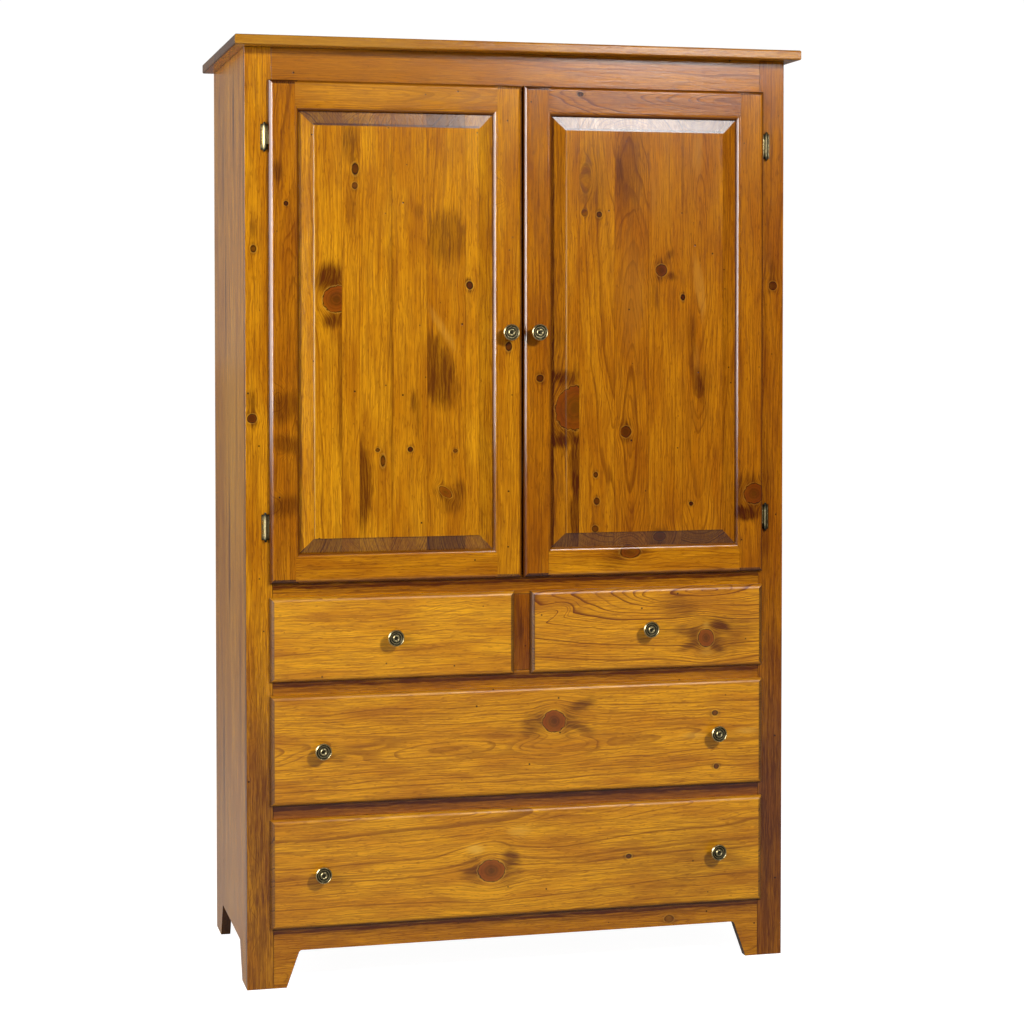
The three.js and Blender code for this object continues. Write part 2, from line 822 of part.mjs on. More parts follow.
// side is -1 for the left door and 1 for the right one. The door group sits on the hinge axis.
function addDoor(name, side) {
  const door = new THREE.Group();
  door.position.set(side * hingeX, faceY + hingeY, doorRailTop - lipOverlap);
  armoire.add(door);
  const seat = new THREE.Group(); // back to the face of the frame and the middle of the case
  seat.position.set(-side * hingeX, -hingeY, 0);
  door.add(seat);

  const x0 = Math.min(side * doorInner, side * doorOuter);
  const x1 = Math.max(side * doorInner, side * doorOuter);
  const rebate = lipOverlap + doorInset;
  const sideInsets = side < 0 ? [rebate, 0] : [0, rebate];
  const insets = [...sideInsets, rebate, rebate];
  const blank = lippedBlank(x0, x1, 0, doorHeight, doorFrontY, doorThickness, insets);

  const section = frameSection();
  const leftSection = section.map(([u, v]) => [x0 + u, doorFrontY + v]);
  const rightSection = section.map(([u, v]) => [x1 - u, doorFrontY + v]);
  const leftStile = uprightPrism(leftSection, 0, doorHeight);
  const rightStile = uprightPrism(rightSection, 0, doorHeight);
  const knobX = side * doorKnobFromCentre;
  const knobZ = doorHeight / 2;
  const hole = knobHole(knobX, knobZ, doorThickness, doorFrontY);
  const hingeStile = side < 0 ? leftStile : rightStile;
  const meetingStile = side < 0 ? rightStile : leftStile;
  addPiece(seat, name + "_hinge_stile", hingeStile.intersect(blank), pine);
  addPiece(seat, name + "_meeting_stile", meetingStile.intersect(blank).subtract(hole), pine);

  const railFrom = x0 + doorFrameWidth - panelGrooveDepth + seatGap;
  const railTo = x1 - doorFrameWidth + panelGrooveDepth - seatGap;
  const bottomSection = section.map(([u, v]) => [doorFrontY + v, u]);
  const topSection = section.map(([u, v]) => [doorFrontY + v, doorHeight - u]);
  for (const [end, points] of [
    ["_bottom_rail", bottomSection],
    ["_top_rail", topSection],
  ]) {
    const rail = copedBy(copedBy(crossPrism(points, railFrom, railTo), leftStile, 1), rightStile, -1);
    addPiece(seat, name + end, rail.intersect(blank), pine);
  }

  const edge = doorFrameWidth - panelGrooveDepth + panelEdgeClearance;
  addPiece(seat, name + "_panel", raisedPanel(x0 + edge, x1 - edge, edge, doorHeight - edge), pine);
  addKnob(seat, name + "_knob", knobX, doorFrontY, knobZ, doorThickness);

  for (const [place, z] of [
    ["upper", upperHingeZ],
    ["lower", lowerHingeZ],
  ]) {
    const onFrame = new THREE.Group();
    onFrame.position.set(side * hingeX, hingeY, z);
    carcass.add(onFrame);
    const onDoor = new THREE.Group();
    onDoor.position.set(0, 0, z - door.position.z);
    door.add(onDoor);
    addHinge(onFrame, onDoor, name.replace("door", place), side);
  }
}

// Drawers

// Tails on the front end of a drawer side, or the sockets for them when grow is the seat gap.
function dovetails(x0, x1, rootY, sideBottom, sideTop, grow) {
  const count = Math.max(fewestTails, Math.round((sideTop - sideBottom) / tailPitch));
  const pitch = (sideTop - sideBottom) / count;
  return Array.from({ length: count }, (_, i) => {
    const middle = sideBottom + (i + 1 / 2) * pitch;
    const root = (tailRootShare * pitch) / 2 + grow;
    const tip = (tailTipShare * pitch) / 2 + grow;
    const tipY = rootY - tailLength - grow;
    return crossPrism(
      [
        [rootY + seatGap + seatGap, middle - root],
        [rootY + seatGap + seatGap, middle + root],
        [tipY, middle + tip],
        [tipY, middle - tip],
      ],
      x0,
      x1,
    );
  });
}

// A drawer in the opening between x0 and x1, whose floor is at bottom.
function addDrawer(name, x0, x1, bottom, openingHeight, knobXs) {
  const drawer = new THREE.Group();
  drawer.position.set(0, faceY, bottom);
  armoire.add(drawer);

  const front = -(drawerLipGap + lipThickness);
  const frontBack = front + drawerFrontThickness;
  const insets = Array(4).fill(lipOverlap + drawerInset);
  const lipBottom = -lipOverlap;
  const lipTop = openingHeight + lipOverlap;
  const outer0 = x0 + drawerInset;
  const outer1 = x1 - drawerInset;
  const inner0 = outer0 + drawerSideThickness;
  const inner1 = outer1 - drawerSideThickness;
  const sideBottom = drawerRunningGap;
  const sideTop = openingHeight - drawerTopClearance;
  const sideFront = frontBack + seatGap;
  const boxBack = rearRailFrontY - drawerRearClearance;
  const grooveBottom = sideBottom + drawerBottomRise;
  const grooveTop = grooveBottom + drawerBottomThickness + seatGap + seatGap;
  const tongue = drawerGrooveDepth - seatGap;
  const groove = board(
    inner0 - drawerGrooveDepth,
    inner1 + drawerGrooveDepth,
    frontBack - drawerGrooveDepth,
    boxBack + cutOverrun,
    grooveBottom,
    grooveTop,
  );
  const knobZ = (lipBottom + lipTop) / 2;

  let panel = lippedBlank(
    x0 - lipOverlap,
    x1 + lipOverlap,
    lipBottom,
    lipTop,
    front,
    drawerFrontThickness,
    insets,
  );
  for (const [from, to] of [
    [outer0 - cutOverrun, inner0 + seatGap],
    [inner1 - seatGap, outer1 + cutOverrun],
  ]) {
    for (const socket of dovetails(from, to, frontBack, sideBottom, sideTop, seatGap)) {
      panel = panel.subtract(socket);
    }
  }
  panel = panel.subtract(groove);
  for (const x of knobXs) panel = panel.subtract(knobHole(x, knobZ, drawerFrontThickness, front));
  addPiece(drawer, name + "_front", panel, pineFront);

  const backBottom = grooveTop;
  let box = board(
    inner0 - seatGap,
    inner1 + seatGap,
    boxBack - drawerBackThickness,
    boxBack,
    backBottom,
    sideTop - drawerBackDrop,
  );
  for (const [from, to] of [
    [outer0, inner0],
    [inner1, outer1],
  ]) {
    box = box.add(board(from, to, sideFront, boxBack, sideBottom, sideTop));
    for (const tail of dovetails(from, to, frontBack, sideBottom, sideTop, 0)) box = box.add(tail);
  }
  addPiece(drawer, name + "_box", box.subtract(groove), plainPine);

  const bottomPanel = board(
    inner0 - tongue,
    inner1 + tongue,
    frontBack - tongue,
    boxBack,
    grooveBottom + seatGap,
    grooveBottom + seatGap + drawerBottomThickness,
  );
  addPiece(drawer, name + "_bottom", bottomPanel, plywood);

  knobXs.forEach((x, i) => {
    const endings = knobXs.length === 1 ? ["_knob"] : ["_left_knob", "_right_knob"];
    addKnob(drawer, name + endings[i], x, front, knobZ, drawerFrontThickness);
  });
}

// Assembly

addTopBoard();
addStile("left_face_stile", -1);
addStile("right_face_stile", 1);
addFrameRails();
addBaseRail();
addSidePanel("left_side_panel", -1);
addSidePanel("right_side_panel", 1);
addDeck();
addShelf();
for (const [sideName, side] of [
  ["left", -1],
  ["right", 1],
]) {
  addShelfPin(sideName + "_front_shelf_pin", side, pinRows[0]);
  addShelfPin(sideName + "_back_shelf_pin", side, pinRows[1]);
}
addBack();
addWebFrame("lower_web_frame", baseRailTop, rearRailFrontY - seatGap, false);
addWebFrame("middle_web_frame", lowerRailTop, backPanelY - seatGap, false);
addWebFrame("upper_web_frame", upperRailTop, backPanelY - seatGap, true);
addDoor("left_door", -1);
addDoor("right_door", 1);

const smallEdge = dividerWidth / 2;
const smallMiddle = (openingHalf + smallEdge) / 2;
const largeKnobX = openingHalf + lipOverlap - largeDrawerKnobInset;
const knobPair = [-largeKnobX, largeKnobX];
addDrawer("left_small_drawer", -openingHalf, -smallEdge, upperRailTop, smallDrawerOpening, [-smallMiddle]);
addDrawer("right_small_drawer", smallEdge, openingHalf, upperRailTop, smallDrawerOpening, [smallMiddle]);
addDrawer("middle_drawer", -openingHalf, openingHalf, lowerRailTop, largeDrawerOpening, knobPair);
addDrawer("bottom_drawer", -openingHalf, openingHalf, baseRailTop, largeDrawerOpening, knobPair);

export default armoire;
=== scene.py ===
"""A stained knotty-pine television armoire in a plain studio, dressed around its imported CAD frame.

Metres, X to the right, Y to the back, Z up, the floor at zero. Wood patterns work in millimetres,
as [across the grain, along the grain, into the board].
"""

import json
import math

import bmesh
import bpy
from mathutils import Matrix, Vector


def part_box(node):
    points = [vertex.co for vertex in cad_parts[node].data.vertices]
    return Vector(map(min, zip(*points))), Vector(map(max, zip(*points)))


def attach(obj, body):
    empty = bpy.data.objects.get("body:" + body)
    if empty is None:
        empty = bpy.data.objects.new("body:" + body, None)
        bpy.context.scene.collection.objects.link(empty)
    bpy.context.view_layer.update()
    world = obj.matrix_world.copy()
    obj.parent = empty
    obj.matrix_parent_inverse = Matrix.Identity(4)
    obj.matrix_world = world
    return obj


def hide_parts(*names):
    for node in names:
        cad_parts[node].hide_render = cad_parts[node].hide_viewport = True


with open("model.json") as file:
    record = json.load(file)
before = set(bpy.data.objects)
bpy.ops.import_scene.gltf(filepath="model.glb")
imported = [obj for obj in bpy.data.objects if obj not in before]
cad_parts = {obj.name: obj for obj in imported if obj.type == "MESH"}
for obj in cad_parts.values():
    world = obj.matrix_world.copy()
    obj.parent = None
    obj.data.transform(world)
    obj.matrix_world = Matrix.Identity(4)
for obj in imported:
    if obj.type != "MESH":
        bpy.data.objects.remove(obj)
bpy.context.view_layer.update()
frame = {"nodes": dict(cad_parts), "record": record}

MM = 0.001
PER_METRE = 1000.0
nodes = frame["nodes"]
body_of = {n: b for b, names in frame["record"]["behaviour"]["bodies"].items() for n in names}


# Colours and shader nodes

def linear(hex_code):
    """An sRGB hex colour as the linear colour that shaders take."""
    parts = [int(hex_code[i:i + 2], 16) / 255 for i in (1, 3, 5)]
    return (*[p / 12.92 if p <= 0.04045 else ((p + 0.055) / 1.055) ** 2.4 for p in parts], 1.0)


def add(tree, kind, feeds=None, **settings):
    """Adds a node. feeds maps inputs, by name or number, to sockets, nodes or plain values."""
    node = tree.nodes.new(kind)
    for name, value in settings.items():
        setattr(node, name, value)
    for key, value in (feeds or {}).items():
        if isinstance(value, bpy.types.Node):
            value = next(o for o in value.outputs if o.enabled)
        if isinstance(value, bpy.types.NodeSocket):
            tree.links.new(value, node.inputs[key])
        else:
            node.inputs[key].default_value = value
    return node


def new_material(name):
    material = bpy.data.materials.new(name)
    material.use_nodes = True
    material.node_tree.nodes.clear()
    return material, material.node_tree


def new_group(name, inputs, outputs):
    """An empty node group with its sockets; returns the tree, its inputs and its output node."""
    tree = bpy.data.node_groups.new(name, "ShaderNodeTree")
    for socket, kind in inputs:
        tree.interface.new_socket(socket, in_out="INPUT", socket_type="NodeSocket" + kind)
    for socket, kind in outputs:
        tree.interface.new_socket(socket, in_out="OUTPUT", socket_type="NodeSocket" + kind)
    return tree, tree.nodes.new("NodeGroupInput").outputs, tree.nodes.new("NodeGroupOutput")


# Wood: features that sit at a place on a board. Each is a group, and one feeds the next.

EVERYWHERE = 1.0e5  # limits across a board, in mm, that leave a feature uncut
SOFT_EDGE = 0.25  # a patch is full up to here, with its radius as 1, unless its row says

# A knot, in mm
BARK_LINE = 1.9  # either side of its edge
PALE_RING = 1.8  # from its edge out to the middle of the ring, and from there to its end
ALL_HEART = 4.0  # the radius of a knot that is nearly all heart
ALL_RINGS = 14.0  # the radius from which only its middle is heart

# A knot, with its radius as 1
CORE_ENDS = (1.02, 0.93)  # where its core has ended, and where it is still whole
STAIN_ENDS = (2.7, 0.9)  # the same for the stain above and below it
CORE_RAGGED = 0.35  # how far the core's outline strays
STAIN_RAGGED = 2.4
GRAIN_MOVES = 0.92  # how far the grain at its edge is pushed aside
GRAIN_CALMS = 1.7  # the power by which that fades
HEART_GAIN = 0.8  # how much nearer to their hearts small knots look
KNOT_RINGS = 3.2  # from its edge to its heart
KNOT_RING_DARK = 0.35

# A patch, with its radius as 1
PATCH_END = 1.15
PATCH_RAGGED = 0.9


def feature_group(name, numbers, carried):
    """A group for a feature on a board. It gets where the point is, and the feature's centre,
    size and turn; Low and High are the glue lines that cut it off."""
    tree, given, result = new_group(
        name,
        [("Place", "Vector"), ("Centre", "Vector"), ("Size", "Vector"), ("Turn", "Vector"),
         ("Low", "Float"), ("High", "Float")]
        + [(n, "Float") for n in numbers] + [(n, "Float") for n in carried],
        [(n, "Float") for n in carried])
    local = add(tree, "ShaderNodeMapping", {
        "Vector": given["Place"], "Location": given["Centre"], "Rotation": given["Turn"],
        "Scale": given["Size"]}, vector_type="TEXTURE")
    across = add(tree, "ShaderNodeSeparateXYZ", {0: given["Place"]}).outputs["X"]
    above = add(tree, "ShaderNodeMath", {0: across, 1: given["Low"]}, operation="GREATER_THAN")
    below = add(tree, "ShaderNodeMath", {0: across, 1: given["High"]}, operation="LESS_THAN")
    inside = add(tree, "ShaderNodeMath", {0: above, 1: below}, operation="MULTIPLY")
    weight = add(tree, "ShaderNodeMath", {0: inside, 1: given["Strength"]}, operation="MULTIPLY")
    return tree, given, result, local, across, inside, weight


def knot_group():
    """A knot: the grain parts round it. Its core is red-brown inside a dark line of bark and a
    pale line of sapwood; above and below, where the fibres dive, the wood drank more stain."""
    tree, given, result, local, across, inside, weight = feature_group(
        "knot", ["Strength", "Ragged", "Feather"],
        ["Flow", "Core", "Rim", "Pale", "Dark", "Inner"])
    smooth = add(tree, "ShaderNodeVectorMath", {0: local}, operation="LENGTH").outputs["Value"]
    reach = add(tree, "ShaderNodeMath", {0: given["Ragged"], 1: CORE_RAGGED, 2: smooth},
                operation="MULTIPLY_ADD")
    far = add(tree, "ShaderNodeMath", {0: smooth, 1: 1.0}, operation="MAXIMUM")
    calm = add(tree, "ShaderNodeMath", {0: far, 1: GRAIN_CALMS}, operation="POWER")
    middle = add(tree, "ShaderNodeSeparateXYZ", {0: given["Centre"]}).outputs["X"]
    aside = add(tree, "ShaderNodeMath", {0: across, 1: middle}, operation="SUBTRACT")
    push = add(tree, "ShaderNodeMath", {0: aside, 1: calm}, operation="DIVIDE")
    share = add(tree, "ShaderNodeMath", {0: inside, 1: -GRAIN_MOVES}, operation="MULTIPLY")
    flow = add(tree, "ShaderNodeMath", {0: push, 1: share, 2: given["Flow"]},
               operation="MULTIPLY_ADD")
    tree.links.new(flow.outputs[0], result.inputs["Flow"])
    # How many mm the point lies beyond the knot's edge.
    radius = add(tree, "ShaderNodeSeparateXYZ", {0: given["Size"]}).outputs["X"]
    beyond = add(tree, "ShaderNodeMath", {0: reach, 1: 1.0}, operation="SUBTRACT")
    beyond = add(tree, "ShaderNodeMath", {0: beyond, 1: radius}, operation="MULTIPLY")
    line = add(tree, "ShaderNodeMath", {0: beyond}, operation="ABSOLUTE")
    ring = add(tree, "ShaderNodeMath", {0: beyond, 1: PALE_RING}, operation="SUBTRACT")
    ring = add(tree, "ShaderNodeMath", {0: ring}, operation="ABSOLUTE")
    # 1 straight above and below the knot, 0 beside it.
    upright = add(tree, "ShaderNodeMath", {
        0: add(tree, "ShaderNodeSeparateXYZ", {0: local}).outputs["Y"], 1: far},
        operation="DIVIDE")
    upright = add(tree, "ShaderNodeMath", {0: upright, 1: upright}, operation="MULTIPLY")
    feathered = add(tree, "ShaderNodeMath", {0: given["Feather"], 1: STAIN_RAGGED, 2: smooth},
                    operation="MULTIPLY_ADD")
    masks = {}
    for name, value, none, full in (
        ("Core", reach, *CORE_ENDS), ("Rim", line, BARK_LINE, 0.0),
        ("Pale", ring, PALE_RING, 0.2 * PALE_RING), ("Dark", feathered, *STAIN_ENDS),
    ):
        masks[name] = add(tree, "ShaderNodeMapRange", {
            "Value": value, "From Min": none, "From Max": full}, interpolation_type="SMOOTHSTEP")
    masks["Dark"] = add(tree, "ShaderNodeMath", {0: masks["Dark"], 1: upright},
                        operation="MULTIPLY")
    for name, mask in masks.items():
        mask = add(tree, "ShaderNodeMath", {0: mask, 1: weight}, operation="MULTIPLY")
        both = add(tree, "ShaderNodeMath", {0: mask, 1: given[name]}, operation="MAXIMUM")
        tree.links.new(both.outputs[0], result.inputs[name])
    # Nearness to the middle of the knot that the point is in, for the rings inside it.
    near = add(tree, "ShaderNodeMapRange", {"Value": reach, "From Min": 1.0, "From Max": 0.0})
    # A small knot is all heart.
    small = add(tree, "ShaderNodeMapRange", {
        "Value": radius, "From Min": ALL_HEART, "From Max": ALL_RINGS, "To Min": HEART_GAIN,
        "To Max": 0.0})
    small = add(tree, "ShaderNodeMath", {0: masks["Core"], 1: small}, operation="MULTIPLY")
    near = add(tree, "ShaderNodeMath", {0: small, 1: near}, operation="ADD", use_clamp=True)
    near = add(tree, "ShaderNodeMath", {0: near, 1: inside}, operation="MULTIPLY")
    both = add(tree, "ShaderNodeMath", {0: near, 1: given["Inner"]}, operation="MAXIMUM")
    tree.links.new(both.outputs[0], result.inputs["Inner"])
    return tree


def patch_group():
    """A soft patch: stain that soaked deeper into loose grain, or paler wood."""
    tree, given, result, local, _, _, weight = feature_group(
        "patch", ["Strength", "Ragged", "Edge"], ["Amount"])
    smooth = add(tree, "ShaderNodeVectorMath", {0: local}, operation="LENGTH").outputs["Value"]
    reach = add(tree, "ShaderNodeMath", {0: given["Ragged"], 1: PATCH_RAGGED, 2: smooth},
                operation="MULTIPLY_ADD")
    soft = add(tree, "ShaderNodeMapRange", {
        "Value": reach, "From Min": PATCH_END, "From Max": given["Edge"]},
        interpolation_type="SMOOTHSTEP")
    soft = add(tree, "ShaderNodeMath", {0: soft, 1: weight}, operation="MULTIPLY")
    both = add(tree, "ShaderNodeMath", {0: soft, 1: given["Amount"]}, operation="ADD")
    tree.links.new(both.outputs[0], result.inputs["Amount"])
    return tree


def dome_group():
    """A place where the saw cut through the top of a growth layer, so that its rings close up
    into ovals or nested arches. Strength is how many mm the layer rises."""
    tree, given, result, local, _, _, weight = feature_group("dome", ["Strength"], ["Lift"])
    square = add(tree, "ShaderNodeVectorMath", {0: local, 1: local},
                 operation="DOT_PRODUCT").outputs["Value"]
    rest = add(tree, "ShaderNodeMath", {0: 1.0, 1: square}, operation="SUBTRACT", use_clamp=True)
    dome = add(tree, "ShaderNodeMath", {0: rest, 1: 2.0}, operation="POWER")
    lift = add(tree, "ShaderNodeMath", {0: dome, 1: weight, 2: given["Lift"]},
               operation="MULTIPLY_ADD")
    tree.links.new(lift.outputs[0], result.inputs["Lift"])
    return tree


KNOT = knot_group()
PATCH = patch_group()
DOME = dome_group()


def strung(tree, group, rows, flip, shared, carried):
    """Puts a group in line for each feature. A row is [x, z, half width, half height, turn,
    strength] as seen on the face, then any further numbers: edge, or glue lines low and high."""
    for x, z, rx, rz, turn, strength, *rest in rows:
        place = (x, z, 0.0) if not flip else (z, x, 0.0)
        size = (rx, rz, 1.0) if not flip else (rz, rx, 1.0)
        turn = math.radians(-turn if flip else turn)
        feeds = {"Centre": place, "Size": size, "Turn": (0.0, 0.0, turn), "Strength": strength}
        if "Edge" in [s.name for s in group.interface.items_tree]:
            feeds["Edge"], *rest = rest or [SOFT_EDGE]
        feeds["Low"], feeds["High"] = rest or (-EVERYWHERE, EVERYWHERE)
        step = add(tree, "ShaderNodeGroup", {**feeds, **shared, **carried}, node_tree=group)
        carried = {name: step.outputs[name] for name in carried}
    return carried


# Wood: its figure, in mm. Real fibres are too fine to show, so they are drawn as coarse as a
# pixel of the photograph.

GLUE_LINE = 1.4  # either side of a glued joint, as wide as it has to be to show
RING_SPACING = 4.6
RINGS_STRAY = 22.0
FIBRES_STRAY = 5.0
SPECK_CELL = 34.0  # between the places where a speck may be
SPECK_ENDS = (2.55, 1.19)  # from its middle: where it has ended, and where it is still black
KNOT_EDGE_PER_MM = (0.13, 0.09, 0.0)  # how fast the raggedness of a knot's edge changes

# Noise drawn out along the grain: mm across and along, octaves, roughness, and a number that
# sets it apart from the others.
WANDER = (48.0, 210.0, 2.0, 0.45, 31.0)
MOTTLE = (34.0, 190.0, 3.0, 0.55, 3.7)
STREAK = (9.0, 160.0, 2.0, 0.5, 7.9)
WAVER = (14.0, 24.0, 1.0, 0.5, 5.3)
FIBRE = (2.2, 70.0, 3.0, 0.7, 11.3)
FLECK = (2.4, 15.0, 1.0, 0.5, 17.9)
FEATHER = (4.0, 36.0, 2.0, 0.6, 23.1)

# Of what each mark depends on, the amount at which there is none of the mark, and the amount at
# which there is all of it. Where nothing else is said, that is its own noise.
SHOWS = {
    "mottle": (0.34, 0.68), "streak": (0.52, 0.74), "fibre": (0.38, 0.64), "fleck": (0.61, 0.70),
    "knot line": (-0.25, 0.0),  # it comes and goes with the raggedness of the knot's edge
    "end grain": (0.06, 0.16),  # how far the surface turns to the board's ends, square being 1
    "shaped edge": (0.99, 0.85),  # how squarely the surface looks out of the board's face
}
LATE_STARTS = (0.55, 0.9)  # the late wood of a ring, by the part of the year that is gone
LATE_ENDS = (1.0, 0.94)
YEAR_SHOWS = (-0.2, 1.0)  # the whole ring, by a number from 0 to 1 drawn for the year
YEARS_CHANGE = 0.31  # how fast wide rings give way to narrow ones
YEARS_STRAY = 2.6
END_RINGS = 5.0  # how many times steeper than true the rings cut a raised panel's shallow bevel
END_LOT = 0.3  # how much less stain the end of a plank may drink than another
END_ARCS = 0.25  # how much more its late wood drinks
PLAIN_PLANK = (-EVERYWHERE, 160.0, 60.0, 0.03, 1.0)
PLANKS_APART = 7.31  # in the noise, so that no plank continues the one beside it
NOISE_APART = 61.7
MOTTLED = 0.7
SHEEN_VARIES = 0.06  # how much rougher the lacquer is over the fibres
RING_DIP = 0.5  # against the height of a fibre
SPECK_DIP = 6.0

STAINED = {
    "light": "#D08D0F", "deep": "#A96404", "line": "#642B00", "patch": "#522300",
    "pale": "#D09A38", "knot": "#8A4006", "heart": "#4C2000", "bark": "#240E00",
    "speck": "#220C00", "butt": "#341506", "rings": 0.55, "flecks": 0.36, "end": 0.8, "edge": 0.5,
}
BARE = {
    "light": "#E6C594", "deep": "#D9B27C", "line": "#B9854A", "patch": "#B07C46",
    "pale": "#EDD3A8", "knot": "#9A5A2A", "heart": "#70401C", "bark": "#4A2A14",
    "speck": "#6A4526", "butt": "#A87A4A", "rings": 0.5, "flecks": 0.2, "end": 0.6, "edge": 0.1,
}
VENEER = {
    "light": "#D8B27C", "deep": "#C89C64", "line": "#A87A46", "patch": "#A87844",
    "pale": "#E4C796", "knot": "#90602E", "heart": "#70401C", "bark": "#50301A",
    "speck": "#6A4526", "butt": "#8A6038", "rings": 0.55, "flecks": 0.2, "end": 0.7, "edge": 0.3,
}


def planked(tree, wide, planks, middle, seed):
    """The plank of a glued-up board that the point is on: its pith line, its tone and its place
    in the noise, and how near a glue line is. middle is the board's, along the grain."""
    shapes = [(pith, depth - slope * middle, slope) for _, pith, depth, slope, _ in planks]
    shape = add(tree, "ShaderNodeCombineXYZ", dict(enumerate(shapes[0])))
    kind = add(tree, "ShaderNodeCombineXYZ", {0: planks[0][4], 1: seed})
    seam = 0.0
    for i, plank in enumerate(planks[1:]):
        gap = add(tree, "ShaderNodeMath", {0: wide, 1: plank[0]}, operation="SUBTRACT")
        gap = add(tree, "ShaderNodeMath", {0: gap}, operation="ABSOLUTE")
        close = add(tree, "ShaderNodeMapRange", {
            "Value": gap, "From Min": GLUE_LINE, "From Max": 0.0}, interpolation_type="SMOOTHSTEP")
        seam = add(tree, "ShaderNodeMath", {0: close, 1: seam}, operation="MAXIMUM")
        step = add(tree, "ShaderNodeMath", {0: wide, 1: plank[0]}, operation="GREATER_THAN")
        change = [b - a for a, b in zip(shapes[i], shapes[i + 1])]
        shape = add(tree, "ShaderNodeVectorMath", {0: step, 1: change, 2: shape},
                    operation="MULTIPLY_ADD")
        change = (plank[4] - planks[i][4], PLANKS_APART, 0.0)
        kind = add(tree, "ShaderNodeVectorMath", {0: step, 1: change, 2: kind},
                   operation="MULTIPLY_ADD")
    pith = add(tree, "ShaderNodeSeparateXYZ", {0: shape}).outputs
    kind = add(tree, "ShaderNodeSeparateXYZ", {0: kind}).outputs
    return pith, kind, seam


def latewood(tree, radius, shift):
    """The dark part of each year's ring, from the distance to the pith. Some years grew wider
    rings than others, and some stronger ones."""
    years = add(tree, "ShaderNodeMath", {0: radius, 1: 1 / RING_SPACING}, operation="MULTIPLY")
    uneven = add(tree, "ShaderNodeTexNoise", {
        "W": add(tree, "ShaderNodeMath", {0: years, 1: YEARS_CHANGE, 2: shift},
                 operation="MULTIPLY_ADD"),
        "Scale": 1.0, "Detail": 1.0}, noise_dimensions="1D")
    years = add(tree, "ShaderNodeMath", {0: uneven.outputs["Fac"], 1: YEARS_STRAY, 2: years},
                operation="MULTIPLY_ADD")
    season = add(tree, "ShaderNodeMath", {0: years}, operation="FRACT")
    year = add(tree, "ShaderNodeMath", {0: years}, operation="FLOOR")
    lot = add(tree, "ShaderNodeTexWhiteNoise", {"W": year}, noise_dimensions="1D")
    late = 1.0
    for value, (none, full) in (
        (season, LATE_STARTS), (season, LATE_ENDS), (lot.outputs["Value"], YEAR_SHOWS),
    ):
        share = add(tree, "ShaderNodeMapRange", {
            "Value": value, "From Min": none, "From Max": full}, interpolation_type="SMOOTHSTEP")
        late = add(tree, "ShaderNodeMath", {0: late, 1: share}, operation="MULTIPLY")
    return late


def specked(tree, mm, seed, specks):
    """Worm holes and nicks from the distressing: black dots with a soft edge."""
    cells = add(tree, "ShaderNodeVectorMath", {
        0: mm, 1: [1 / SPECK_CELL] * 3, 2: (seed, seed * 0.7, seed * 1.3)},
        operation="MULTIPLY_ADD")
    dots = add(tree, "ShaderNodeTexVoronoi", {"Vector": cells, "Scale": 1.0})
    none, full = (end / SPECK_CELL for end in SPECK_ENDS)
    dot = add(tree, "ShaderNodeMapRange", {
        "Value": dots.outputs["Distance"], "From Min": none, "From Max": full},
        interpolation_type="SMOOTHSTEP")
    pick = add(tree, "ShaderNodeSeparateColor", {0: dots.outputs["Color"]}).outputs[0]
    pick = add(tree, "ShaderNodeMath", {0: pick, 1: specks}, operation="LESS_THAN")
    return add(tree, "ShaderNodeMath", {0: dot, 1: pick}, operation="MULTIPLY")


def heartwood(tree, look, inner, ragged):
    """A knot's own rings, closing on a darker heart."""
    turns = add(tree, "ShaderNodeMath", {0: inner, 1: KNOT_RINGS, 2: ragged},
                operation="MULTIPLY_ADD")
    turns = add(tree, "ShaderNodeMath", {0: turns}, operation="FRACT")
    turns = add(tree, "ShaderNodeMath", {0: turns, 1: KNOT_RING_DARK, 2: inner},
                operation="MULTIPLY_ADD", use_clamp=True)
    return add(tree, "ShaderNodeMix", {
        0: turns, 6: linear(look["knot"]), 7: linear(look["heart"])}, data_type="RGBA")


def coloured(tree, look, cloud, layers, tone):
    """The wood's colour: each layer in turn covers its share of what lies under it."""
    colour = add(tree, "ShaderNodeMix", {
        0: cloud, 6: linear(look["light"]), 7: linear(look["deep"])}, data_type="RGBA")
    for amount, share, target in layers:
        amount = add(tree, "ShaderNodeMath", {0: amount, 1: share}, operation="MULTIPLY",
                     use_clamp=True)
        target = linear(look[target]) if isinstance(target, str) else target
        colour = add(tree, "ShaderNodeMix", {0: amount, 6: colour, 7: target}, data_type="RGBA")
    # The deeper the stain, the redder it is.
    depth = add(tree, "ShaderNodeCombineXYZ", {
        0: tone, 1: add(tree, "ShaderNodeMath", {0: tone, 1: 1.5}, operation="POWER"),
        2: add(tree, "ShaderNodeMath", {0: tone, 1: tone}, operation="MULTIPLY")})
    return add(tree, "ShaderNodeVectorMath", {0: colour, 1: depth}, operation="MULTIPLY")


